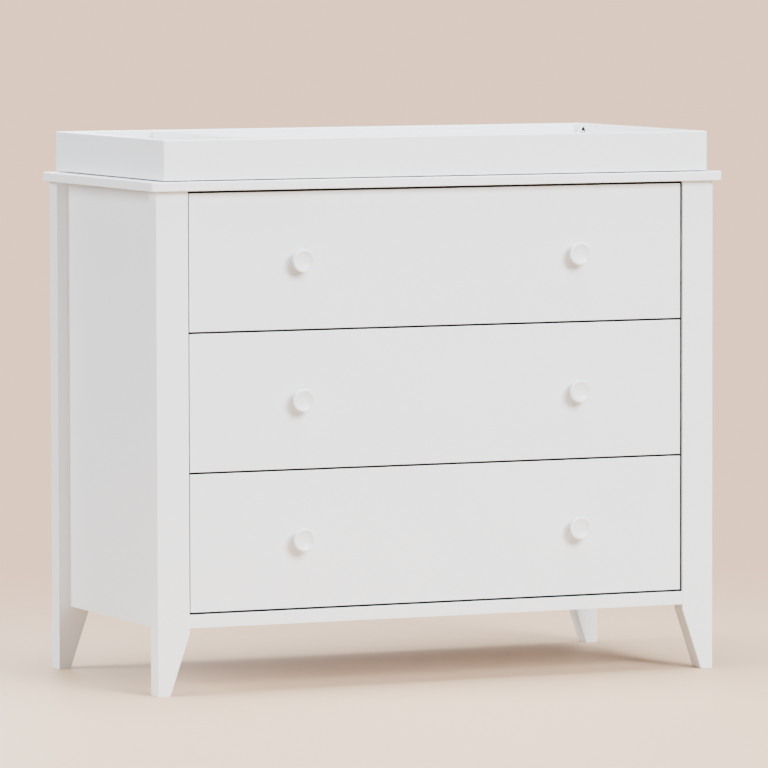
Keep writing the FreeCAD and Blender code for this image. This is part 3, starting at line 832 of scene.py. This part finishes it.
@dataclass
class Workshop:
    """Turns skins into pieces that ride on the frame, and keeps count of them."""

    rack: FinishRack
    made: list[str] = field(default_factory=list)
    no_area: float = 1e-7

    def mesh(self, name: str, skin: Skin) -> bpy.types.Mesh:
        """Makes a mesh in metres from a skin.

        A face without area is left out.

        Args:
            name: the mesh's name.
            skin: the surface, in millimetres.

        Returns:
            The mesh, with smooth shading, its normals and its edge mask.
        """
        corner = skin.points[skin.quads]
        doubled_area = np.cross(corner[:, 2] - corner[:, 0], corner[:, 3] - corner[:, 1])
        quads = skin.quads[np.linalg.norm(doubled_area, axis=1) > self.no_area]
        mesh = bpy.data.meshes.new(name)
        mesh.from_pydata((skin.points * MM).tolist(), [], quads.tolist() + skin.flats)
        mesh.polygons.foreach_set("use_smooth", np.ones(len(mesh.polygons), bool))
        mask = mesh.attributes.new("edge", "FLOAT", "POINT")
        mask.data.foreach_set("value", skin.edge.astype(np.float32))
        corners = np.empty(len(mesh.loops), np.int32)
        mesh.loops.foreach_get("vertex_index", corners)
        normals = skin.normals[corners]
        starts = 4 * len(quads)
        for flat in skin.flats:
            spots = skin.points[flat]
            facing = np.cross(spots, np.roll(spots, -1, axis=0)).sum(axis=0)
            normals[starts:starts + len(flat)] = facing / np.linalg.norm(facing)
            starts += len(flat)
        mesh.normals_split_custom_set(normals.tolist())
        mesh.update()
        return mesh

    def put(self, name: str, skins: Skin | list[Skin], finish: Finish,
            body: str) -> bpy.types.Object:
        """Puts a finished piece into the scene.

        Args:
            name: the piece's name, without its first word.
            skins: its surfaces.
            finish: its material and the first word of its name.
            body: the frame's body that it moves with.

        Returns:
            The piece.
        """
        skin = joined(skins) if isinstance(skins, list) else skins
        name = f"{finish.word}_{name}"
        piece = bpy.data.objects.new(name, self.mesh(name, skin))
        piece.data.materials.append(finish.material)
        bpy.context.scene.collection.objects.link(piece)
        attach(piece, body)
        self.made.append(name)
        log.info("%s: %d points on %s", name, len(skin.points), body)
        return piece

    def clad(self, node: str, skins: Skin | list[Skin], finish: Finish, body: str) -> None:
        """Puts a finished piece in the place of a frame node."""
        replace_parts(self.put(node, skins, finish, body), node)

    def dress(self, node: str, finish: Finish) -> None:
        """Gives a frame node that keeps its own shape a finish."""
        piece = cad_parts[node]
        for place in piece.material_slots:
            place.material = finish.material
        if not piece.material_slots:
            piece.data.materials.append(finish.material)
        log.info("%s: kept, with %s", node, finish.material.name)


def node_box(node: str) -> tuple[Spot, Spot]:
    """The lowest and highest corners of a frame node in millimetres."""
    low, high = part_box(node)
    return tuple(float(v) / MM for v in low), tuple(float(v) / MM for v in high)


# ---------------------------------------------------------------- the dresser's sub-assemblies

@dataclass
class Case:
    """The fixed case: top, legs, side panels, rails and what lies behind them."""

    shop: Workshop
    top_corner: float = 7.0
    top_soft: float = 1.6
    leg_width: float = 57.0
    foot_width: float = 22.0
    taper_height: float = 103.0
    taper_bend: float = 5.0
    leg_soft: float = 1.8
    leg_rim: float = 0.8
    rebate_width: float = 8.0
    rebate_depth: float = 5.0
    rebate_bottom: float = 112.0
    rail_bevel: float = 1.4
    strip_reach: float = 15.5
    strip_drop: float = 16.0
    strip_lip: float = 2.0
    strip_thick: float = 4.8
    strip_step: float = 1.8

    def build(self) -> None:
        """Builds and dresses all of the case."""
        self.top()
        for end in ("front", "rear"):
            for side in ("left", "right"):
                self.leg(end, side)
        self.panels()
        self.rails()
        self.stop_strip()
        self.inside()

    def top(self) -> None:
        """The top panel with rounded corners and eased edges."""
        low, high = node_box("top_panel")
        skin = box_board(low, high, along="z", corner=self.top_corner, ends=self.top_soft)
        self.shop.clad("top_panel", skin, self.shop.rack.paint[Grain.ALONG_X], "case")

    def taper(self, high: float) -> tuple[Array, Array, Array]:
        """The inner side of a leg from the floor up.

        The width grows evenly from the foot to the taper's end, where an arc turns it upright,
        and stays the same above.

        Args:
            high: how high the leg goes.

        Returns:
            For each ring its height, the width of the leg there and the slope of the inner side.
        """
        slope = (self.leg_width - self.foot_width) / self.taper_height
        reach = self.taper_bend * math.tan(math.atan(slope) / 2)
        start, end = self.taper_height - reach, self.taper_height + reach
        bend = np.linspace(0.0, 1.0, 7)
        widths = self.foot_width + slope * start + 2 * reach * slope * (bend - bend ** 2 / 2)
        return (np.r_[0.0, start + 2 * reach * bend, high],
                np.r_[self.foot_width, widths, self.leg_width],
                np.r_[slope, slope * (1 - bend), 0.0])

    def tapered(self, depth: float, high: float, top_rim: float) -> Skin:
        """A tapered length of leg, with its outer side at x = 0 and its front at y = 0.

        A point is the centre of one of four corner arcs plus the edge radius times the arc's
        normal, and the two inner centres move with the leg's width. At the foot, and at the top if
        it has a rim there, the ring is drawn in as on a board.

        Args:
            depth: the leg's thickness from front to back.
            high: how high it goes.
            top_rim: the radius of its upper rim, or 0 where it goes on above.

        Returns:
            The closed skin.
        """
        soft, rim = self.leg_soft, self.leg_rim
        heights, widths, slopes = self.taper(high)
        top = np.linspace(0.0, math.pi / 2, 5)
        foot = top[::-1]
        if not top_rim:
            top = np.zeros(1)
        level = np.zeros(len(heights) - 2)
        z = np.r_[rim * (1 - np.sin(foot)), heights[1:-1], high - top_rim * (1 - np.sin(top))]
        inset = np.r_[rim * (1 - np.cos(foot)), level, top_rim * (1 - np.cos(top))]
        tilt = np.r_[-foot, level, top][:, None]
        foot_widths = self.foot_width + z[:len(foot)] * slopes[0]
        width = np.r_[foot_widths, widths[1:-1], np.full(len(top), self.leg_width)][:, None]
        slant = np.r_[np.full(len(foot), slopes[0]), slopes[1:-1], np.zeros(len(top))][:, None]
        t = np.linspace(0.0, math.pi / 2, 7)
        angle = np.concatenate([t + math.pi, t + 1.5 * math.pi, t, t + 0.5 * math.pi])
        inner = np.repeat([0.0, 1.0, 1.0, 0.0], len(t))
        back = np.repeat([0.0, 0.0, 1.0, 1.0], len(t))
        x = np.where(inner > 0, width - soft, soft) + (soft - inset)[:, None] * np.cos(angle)
        y = np.where(back > 0, depth - soft, soft) + (soft - inset)[:, None] * np.sin(angle)
        upright = np.cos(tilt)
        normals = np.stack([np.cos(angle) * upright, np.sin(angle) * upright,
                            np.sin(tilt) - inner * slant * np.cos(angle) * upright], axis=2)
        normals /= np.linalg.norm(normals, axis=2, keepdims=True)
        edge = np.maximum(np.tile(np.sin(2 * t), 4) * upright, np.abs(np.sin(2 * tilt)))
        return ringed(raised(np.stack([x, y], axis=2), z[:, None]), normals, edge)

    def leg(self, end: str, side: str) -> None:
        """A leg; a rear one is let in along its back inner corner for the back panel."""
        node = f"leg_{end}_{side}"
        low, high = node_box(node)
        depth = high[1] - low[1]
        if end == "front":
            parts = [self.tapered(depth, high[2], self.leg_rim)]
        else:
            wide, soft = self.leg_width, self.leg_soft
            inner, shelf = wide - self.rebate_width, depth - self.rebate_depth
            notch = [(0.0, 0.0), (wide, 0.0), (wide, shelf), (inner, shelf), (inner, depth),
                     (0.0, depth)]
            upper = rounded_outline(notch, [soft, soft, 0.5, 0.3, 0.5, soft])
            parts = [self.tapered(depth, self.rebate_bottom, 0.0),
                     slab(upper, self.rebate_bottom, high[2], (0.0, self.leg_rim))]
        skin = joined(parts).moved(low[0] if side == "left" else -high[0], low[1])
        rack = self.shop.rack
        self.shop.clad(node, skin if side == "left" else skin.mirrored(),
                       rack.front_leg if end == "front" else rack.paint[Grain.ALONG_Z], "case")

    def panels(self) -> None:
        """The recessed side panels."""
        for side in ("left", "right"):
            node = f"side_panel_{side}"
            skin = box_board(*node_box(node), soft=0.6, along="x")
            self.shop.clad(node, skin, self.shop.rack.paint[Grain.ALONG_Z], "case")

    def rails(self) -> None:
        """The two bottom rails; the front one's top edge is planed down towards the back."""
        for node, bevel in (("bottom_rail_front", self.rail_bevel), ("bottom_rail_rear", 0.0)):
            skin = planed_board(*node_box(node), soft=1.0, bevel=bevel, ends=0.3)
            self.shop.clad(node, skin, self.shop.rack.paint[Grain.ALONG_X], "case")

    def stop_strip(self) -> None:
        """A thin stepped near-black strip behind the lowest gap, put there as painted shade seen
        through it.
        """
        low, high = node_box("bottom_rail_front")
        face, rail_top, clearance = high[1], high[2], 0.5
        step, back = face + self.strip_step, face + self.strip_thick
        foot, lip, head = (rail_top - self.strip_drop, rail_top - self.strip_lip,
                           rail_top + self.strip_reach)
        shape = [(face, foot), (back, foot), (back, head), (step, head), (step, lip), (face, lip)]
        skin = slab(rounded_outline(shape, 0.35), low[0] + clearance, high[0] - clearance, 0.3)
        self.shop.put("drawer_stop_strip", skin.turned_to(("y", "z", "x")), self.shop.rack.sealed,
                      "case")

    def inside(self) -> None:
        """The stretchers, top rails, battens and back panel keep their frame shapes."""
        # painted shade: the stretchers and top rails take the near-black board, which darkens the
        # gaps
        for node in ("lower_stretcher", "upper_stretcher", "top_rail_front", "top_rail_rear"):
            self.shop.dress(node, self.shop.rack.sealed)
        self.shop.dress("runner_cleats", self.shop.rack.paint[Grain.ALONG_Y])
        self.shop.dress("back_panel", self.shop.rack.foil)


@dataclass
class Knob:
    """A turned wooden knob: narrow neck, flared back, rounded rim and a dished face."""

    radius: float = 19.5
    projection: float = 23.0
    neck: float = 8.8
    neck_height: float = 8.4
    foot: float = 10.6
    flare_height: float = 17.4
    rim: float = 2.3
    lip: float = 3.3
    dish: float = 10.0
    dish_depth: float = 3.1
    dip: float = 4.0
    steps: int = 96

    def skin(self) -> Skin:
        """The knob standing on its foot, with its axis along the third axis.

        Its profile runs from the foot through a hollow to the flare, round the rim, and down a
        wide arc to the middle of the dish.
        """
        face = self.projection
        corners = [(self.foot, 0.0), (self.neck, self.neck_height),
                   (self.radius, self.flare_height), (self.radius, face),
                   (self.radius - self.lip, face), (self.dish, face - self.dish_depth),
                   (0.35, face - self.dip), (0.3, face - self.dip)]
        radii = [0.0, 7.0, 1.4, self.rim, 0.85, 18.0, 0.05, 0.0]
        return turned(rounded_outline(corners, radii, steps=10, closed=False), self.steps)


@dataclass
class Drawer:
    """One drawer: its front and knobs, its box, and its half of the runners."""

    shop: Workshop
    name: str
    front_soft: float = 0.8
    end_trim: float = 0.8
    back_bevel: float = 1.4
    box_soft: float = 1.0

    def build(self) -> None:
        """Builds and dresses all of the drawer."""
        self.front()
        self.knobs()
        self.box()

    @property
    def body(self) -> str:
        """The frame's body of this drawer."""
        return f"{self.name}_drawer"

    def front(self) -> None:
        """The painted front, eased all round, with its top edge planed down towards the back.

        Its ends are trimmed a little, so that the gaps beside it show as dark lines.
        """
        node = f"{self.name}_drawer_front"
        low, high = node_box(node)
        skin = planed_board((low[0] + self.end_trim, *low[1:]),
                            (high[0] - self.end_trim, *high[1:]), self.front_soft, self.back_bevel)
        self.shop.clad(node, skin, self.shop.rack.paint[Grain.ALONG_X], self.body)

    def knobs(self) -> None:
        """The pair of knobs, and the screws that hold them from inside."""
        node = f"{self.name}_drawer_knobs"
        low, high = node_box(node)
        middle = (low[2] + high[2]) / 2
        x = high[0] - Knob.radius
        skin = Knob().skin().turned_to(("x", "z", "-y"), (x, high[1], middle))
        self.shop.clad(node, paired([skin]), self.shop.rack.paint[Grain.ALONG_Z], self.body)
        inside = node_box(f"{self.name}_drawer_front")[1][1]
        screw = Screw(5.0, 1.9, shank=2.0).skin().turned_to(("-x", "z", "y"), (x, inside, middle))
        self.shop.put(f"{self.name}_drawer_knob_screws", paired([screw]), self.shop.rack.zinc,
                      self.body)

    def box(self) -> None:
        """The birch sides and back, and the base in its groove."""
        for part, grain, along in (("side_left", Grain.ALONG_Y, "y"),
                                   ("side_right", Grain.ALONG_Y, "y"),
                                   ("back", Grain.ALONG_X, "x")):
            node = f"{self.name}_drawer_{part}"
            skin = box_board(*node_box(node), soft=self.box_soft, along=along, ends=0.3)
            self.shop.clad(node, skin, self.shop.rack.birch[grain], self.body)
        self.shop.dress(f"{self.name}_drawer_base", self.shop.rack.foil)


@dataclass
class Screw:
    """A low-headed screw: a shank and a domed head with a small round recess."""

    head: float = 3.6
    thickness: float = 1.3
    shank: float = 1.9
    depth: float = 4.0

    def skin(self) -> Skin:
        """The screw with its head's face upwards and the underside of the head at height 0.

        The profile climbs the shank, goes out under the head and round its dome, and dips into a
        small recess in the middle.
        """
        high = self.thickness
        corners = [(self.shank, -self.depth), (self.shank, 0.0), (self.head, 0.0),
                   (self.head, high * 0.45), (self.head * 0.62, high), (self.head * 0.42, high),
                   (self.head * 0.18, high * 0.35), (0.05, high * 0.3)]
        radii = [0.0, 0.1, high * 0.1, high * 0.35, high * 0.5, 0.1, 0.2, 0.0]
        return turned(rounded_outline(corners, radii, steps=4, closed=False), 24)


@dataclass
class Roller:
    """A moulded roller with a hub, a recessed web on both faces and a rounded tread."""

    radius: float = 10.0
    width: float = 7.0
    bore: float = 2.55
    hub: float = 4.8
    rim: float = 8.2
    recess: float = 1.1

    def skin(self) -> Skin:
        """The roller along its third axis, from 0 to its width."""
        wide, deep = self.width, self.recess
        web_start, web_end = self.hub + 0.5, self.rim - 0.5
        corners = [(self.bore, 0.0), (self.hub, 0.0), (web_start, deep), (web_end, deep),
                   (self.rim, 0.0), (self.radius, 0.0), (self.radius, wide), (self.rim, wide),
                   (web_end, wide - deep), (web_start, wide - deep), (self.hub, wide),
                   (self.bore, wide)]
        radii = [0.2, 0.3, 0.4, 0.4, 0.3, 0.9, 0.9, 0.3, 0.4, 0.4, 0.3, 0.2]
        return turned(rounded_outline(corners, radii, steps=4), 64)


@dataclass
class RunningGear:
    """The roller runners: case channels, drawer strips, their pins, rollers and screws."""

    shop: Workshop
    sheet: float = 1.2
    bend: float = 1.7
    channel_drop: float = 7.0
    channel_height: float = 25.0
    mouth: float = 30.0
    member_rise: float = 16.0
    roller_rise: float = 4.5
    setback: float = 12.0
    pin: float = 2.5
    pin_reach: float = 7.95
    channel_lip: float = -445.5
    strip_side: float = -443.3
    strip_foot: float = -431.3
    strip_screw_rise: float = 7.5
    case_screws: tuple[float, ...] = (52.0, 192.0, 342.0)
    drawer_screws: tuple[float, ...] = (30.0, 180.0, 330.0)

    def build(self) -> None:
        """Builds and dresses all of the running gear."""
        names = ("lower", "middle", "upper")
        floors = [node_box(f"{name}_drawer_side_left")[0][2] for name in names]
        self.channels(floors)
        for name, floor in zip(names, floors):
            self.strips(name, floor)
            for part in ("drawer", "case"):
                self.rollers(f"{name}_{part}_rollers", f"{name}_{part}_roller_pair")

    def rivet(self) -> Skin:
        """A pin with a domed head, from a plate at height 0, that holds a roller."""
        reach = self.pin_reach
        corners = [(4.4, -0.3), (4.4, 0.5), (self.pin, 0.9), (self.pin, reach), (4.2, reach),
                   (4.2, reach + 0.4), (2.4, reach + 0.9), (0.05, reach + 0.95)]
        radii = [0.0, 0.3, 0.2, 0.1, 0.12, 0.3, 0.8, 0.0]
        return turned(rounded_outline(corners, radii, steps=4, closed=False), 40)

    def channels(self, floors: list[float]) -> None:
        """The case's channels, each rolled from one strip, with its pin and screws."""
        low, high = node_box("case_runners")
        outer, lip, front, back = low[0], self.channel_lip, low[1], high[1]
        sheet, tall, mouth = self.sheet, self.channel_height, front + self.mouth
        web = outer + sheet
        full = [(outer, 0.0), (lip, 0.0), (lip, sheet), (web, sheet), (web, tall - sheet),
                (lip, tall - sheet), (lip, tall), (outer, tall)]
        cut = full[:4] + [(web, tall), (outer, tall)]
        inside, burr = self.bend - sheet, 0.4
        radii = [self.bend, burr, burr, inside, inside, burr, burr, self.bend]
        metal, screws = [], []
        for floor in floors:
            for shape, soft, start, end in ((cut, radii[:4] + [burr] * 2, front, mouth),
                                            (full, radii, mouth, back)):
                skin = slab(rounded_outline(shape, soft), -end, -start, 0.2)
                base = (0.0, 0.0, floor - self.channel_drop)
                metal.append(skin.turned_to(("x", "z", "-y"), base))
            axle = floor + self.roller_rise
            pin_place = (web, front + self.setback, axle)
            metal.append(self.rivet().turned_to(("y", "z", "x"), pin_place))
            screws += [Screw(3.4, 1.2).skin().turned_to(("y", "z", "x"), (web, front + y, axle))
                       for y in self.case_screws]
        self.shop.clad("case_runners", paired(metal), self.shop.rack.coat, "case")
        self.shop.put("case_runner_screws", paired(screws), self.shop.rack.zinc, "case")

    def strips(self, name: str, floor: float) -> None:
        """A drawer's flanged strips, each rolled from one strip, with its pin and screws."""
        body = f"{name}_drawer"
        low, high = node_box(f"{body}_runners")
        side, foot, flange, sheet = self.strip_side, self.strip_foot, low[0], self.sheet
        web, rise = side - sheet, self.member_rise
        shape = [(foot, 0.0), (side, 0.0), (side, rise), (flange, rise), (flange, rise - sheet),
                 (web, rise - sheet), (web, -sheet), (foot, -sheet)]
        inside, burr = self.bend - sheet, 0.4
        radii = [burr, inside, self.bend, burr, burr, inside, self.bend, burr]
        strip = slab(rounded_outline(shape, radii), -high[1], -low[1], 0.2)
        pin_place = (web, high[1] - self.setback, floor + self.roller_rise)
        metal = [strip.turned_to(("x", "z", "-y"), (0.0, 0.0, floor)),
                 self.rivet().turned_to(("-y", "z", "-x"), pin_place)]
        height = floor + self.strip_screw_rise
        screws = [Screw(3.4, 1.1).skin().turned_to(("-y", "z", "-x"), (web, low[1] + y, height))
                  for y in self.drawer_screws]
        self.shop.clad(f"{body}_runners", paired(metal), self.shop.rack.coat, body)
        self.shop.put(f"{body}_runner_screws", paired(screws), self.shop.rack.zinc, body)

    def rollers(self, node: str, body: str) -> None:
        """A pair of rollers."""
        low, high = node_box(node)
        y, z = ((low[axis] + high[axis]) / 2 for axis in (1, 2))
        skin = Roller().skin().turned_to(("y", "z", "x"), (low[0], y, z))
        self.shop.clad(node, paired([skin]), self.shop.rack.nylon, body)


@dataclass
class Tray:
    """The changing tray: four boards, a divider, a base, pads, cams and rear brackets."""

    shop: Workshop
    soft: float = 1.6
    foot: float = 1.0
    joint: float = 0.8
    corner: float = 2.8
    pad_half: float = 8.0
    bracket_half: float = 15.0
    bracket_plate: float = 1.2
    slot_width: float = 5.0
    slot_height: float = 12.0
    plate_screws: tuple[float, ...] = (30.0, 48.0)
    slot_screw: float = 8.0

    def build(self) -> None:
        """Builds and dresses all of the tray."""
        paint = self.shop.rack.tray
        inner, outer = [self.joint] * 2, [self.corner] * 2
        for node, grain, corners in (("tray_front_board", Grain.ALONG_X, outer + inner),
                                     ("tray_rear_board", Grain.ALONG_X, inner + outer),
                                     ("tray_end_left", Grain.ALONG_Y, inner + inner),
                                     ("tray_end_right", Grain.ALONG_Y, inner + inner)):
            skin = box_board(*node_box(node), corner=corners, ends=(self.foot, self.soft))
            self.shop.clad(node, skin, paint[grain], "tray")
        divider = box_board(*node_box("tray_divider"), soft=1.2, along="y", ends=0.3)
        self.shop.clad("tray_divider", divider, paint[Grain.ALONG_Y], "tray")
        self.shop.dress("tray_base", self.shop.rack.foil)
        self.shop.dress("tray_cam_locks", self.shop.rack.zinc)
        self.pads()
        self.brackets()

    def pads(self) -> None:
        """Felt pads with round corners under the front and rear boards."""
        low, high = node_box("tray_pads")
        half = self.pad_half
        skins = [box_board((x - half, y - half, low[2]), (x + half, y + half, high[2]),
                           corner=2.5, ends=0.5)
                 for x in (low[0] + half, 0.0, high[0] - half)
                 for y in (low[1] + half, high[1] - half)]
        self.shop.clad("tray_pads", skins, self.shop.rack.felt, "tray")

    def brackets(self) -> None:
        """Plates on the tray's back whose slots drop over screws in the top's rear edge."""
        low, high = node_box("tray_brackets")
        half, slot, slot_top = self.bracket_half, self.slot_width / 2, self.slot_height
        tall = high[2] - low[2]
        shape = [(-half, 0.0), (-slot, 0.0), (-slot, slot_top), (slot, slot_top), (slot, 0.0),
                 (half, 0.0), (half, tall), (-half, tall)]
        radii = [3.0, 1.2, 2.4, 2.4, 1.2, 3.0, 5.0, 5.0]
        plate = slab(rounded_outline(shape, radii), -self.bracket_plate, 0.0, (0.35, 0.1))
        middles = (half - high[0], high[0] - half)
        plates = [plate.turned_to(("x", "z", "-y"), (x, low[1], low[2])) for x in middles]
        self.shop.clad("tray_brackets", plates, self.shop.rack.coat, "tray")
        face, slack = low[1] + self.bracket_plate, 0.1
        fixed = Screw(4.2, 0.78).skin()
        held = [fixed.turned_to(("-x", "z", "y"), (x, face, low[2] + rise))
                for x in middles for rise in self.plate_screws]
        self.shop.put("tray_bracket_screws", held, self.shop.rack.zinc, "tray")
        loose = Screw(4.6, 0.68, shank=2.2).skin()
        hung = [loose.turned_to(("-x", "z", "y"), (x, face + slack, low[2] + self.slot_screw))
                for x in middles]
        self.shop.put("top_edge_screws", hung, self.shop.rack.zinc, "case")


# ---------------------------------------------------------------- the studio

@dataclass(frozen=True)
class Lamp:
    """A soft square lamp that looks at a point."""

    name: str
    place: Spot
    size: float
    power: float
    colour: Colour
    target: Spot = (0.0, 0.0, 0.45)

    def hang(self) -> None:
        """Puts the lamp into the scene."""
        light = bpy.data.lights.new(self.name, "AREA")
        light.size, light.energy, light.color = self.size, self.power, self.colour
        lamp = bpy.data.objects.new(self.name, light)
        lamp.location = self.place
        aim = Vector(self.target) - Vector(self.place)
        lamp.rotation_euler = aim.to_track_quat("-Z", "Y").to_euler()
        bpy.context.scene.collection.objects.link(lamp)


@dataclass
class Studio:
    """The camera of the photograph, a pale floor that fades into the sky, and soft light."""

    camera_place: Spot = (-4.6626, -10.5235, 1.3053)
    azimuth: float = 23.9069
    fall: float = 4.0532
    roll: float = -0.1381
    lens: float = 315.53
    sensor: float = 36.0
    floor_half: float = 30.0
    lamps: tuple[Lamp, ...] = (
        Lamp("key", (1.5, -6.5, 4.0), 3.4, 1560.0, (0.90, 0.955, 1.0)),
        Lamp("left_fill", (-5.8, 0.9, 3.2), 3.6, 730.0, (0.915, 0.955, 1.0)),
        Lamp("overhead", (0.2, -0.2, 5.0), 3.0, 600.0, (0.93, 0.965, 1.0)),
        Lamp("rear_low", (0.4, 5.0, 1.3), 2.2, 150.0, (0.95, 0.97, 1.0), (0.0, 0.0, 0.0)),
    )
    backdrop: Colour = (1.85, 1.22, 0.85)
    below: Colour = (0.10, 0.11, 0.12)
    horizon: Colour = (0.20, 0.225, 0.26)
    zenith: Colour = (0.46, 0.51, 0.58)

    def build(self) -> None:
        """Sets up the camera, the floor, the lamps and the sky."""
        self.camera()
        self.floor()
        for lamp in self.lamps:
            lamp.hang()
        self.sky()

    def sky(self) -> None:
        """A sky that brightens evenly upwards, with the pale backdrop where it is looked at."""
        world = bpy.data.worlds.new("studio")
        world.use_nodes = True
        nodes, links = world.node_tree.nodes, world.node_tree.links
        where = nodes.new("ShaderNodeTexCoord")
        parts = nodes.new("ShaderNodeSeparateXYZ")
        links.new(where.outputs["Generated"], parts.inputs["Vector"])
        ramp = nodes.new("ShaderNodeValToRGB")
        links.new(parts.outputs["Z"], ramp.inputs["Fac"])
        Recipe.fill_ramp(ramp.color_ramp, [(0.0, self.below), (0.02, self.horizon),
                                           (0.8, self.zenith)])
        seen = nodes.new("ShaderNodeBackground")
        seen.inputs["Color"].default_value = (*self.backdrop, 1.0)
        links.new(ramp.outputs["Color"], nodes["Background"].inputs["Color"])
        choice = nodes.new("ShaderNodeMixShader")
        links.new(nodes.new("ShaderNodeLightPath").outputs["Is Camera Ray"], choice.inputs["Fac"])
        links.new(nodes["Background"].outputs["Background"], choice.inputs[1])
        links.new(seen.outputs["Background"], choice.inputs[2])
        links.new(choice.outputs["Shader"], nodes["World Output"].inputs["Surface"])
        bpy.context.scene.world = world

    def camera(self) -> None:
        """The camera, from its azimuth, its fall below the level and its roll."""
        turn, fall, roll = (math.radians(v) for v in (self.azimuth, self.fall, self.roll))
        forward = Vector((math.sin(turn) * math.cos(fall), math.cos(turn) * math.cos(fall),
                          -math.sin(fall)))
        right = Vector((math.cos(turn), -math.sin(turn), 0.0))
        up = right.cross(forward)
        tilted_right = right * math.cos(roll) + up * math.sin(roll)
        tilted_up = up * math.cos(roll) - right * math.sin(roll)
        axes = Matrix((tilted_right, tilted_up, -forward)).transposed()
        data = bpy.data.cameras.new("photo_camera")
        data.lens, data.sensor_width = self.lens, self.sensor
        data.clip_start, data.clip_end = 0.1, 100.0
        camera = bpy.data.objects.new("photo_camera", data)
        camera.matrix_world = Matrix.Translation(self.camera_place) @ axes.to_4x4()
        bpy.context.scene.collection.objects.link(camera)
        bpy.context.scene.camera = camera

    def floor(self) -> None:
        """A wide plain floor."""
        side = self.floor_half
        mesh = bpy.data.meshes.new("floor")
        mesh.from_pydata([(-side, -side, 0.0), (side, -side, 0.0), (side, side, 0.0),
                          (-side, side, 0.0)], [], [(0, 1, 2, 3)])
        mesh.materials.append(PaleFloor().build())
        ground = bpy.data.objects.new("floor", mesh)
        bpy.context.scene.collection.objects.link(ground)


def main() -> None:
    """Builds the dresser's looks and the studio round it."""
    logging.basicConfig(level=logging.INFO, format="%(name)s: %(message)s")
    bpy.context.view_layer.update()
    shop = Workshop(FinishRack())
    Case(shop).build()
    for name in ("lower", "middle", "upper"):
        Drawer(shop, name).build()
    RunningGear(shop).build()
    Tray(shop).build()
    Studio().build()
    log.info("%d new pieces", len(shop.made))


if __name__ == "__main__":
    main()
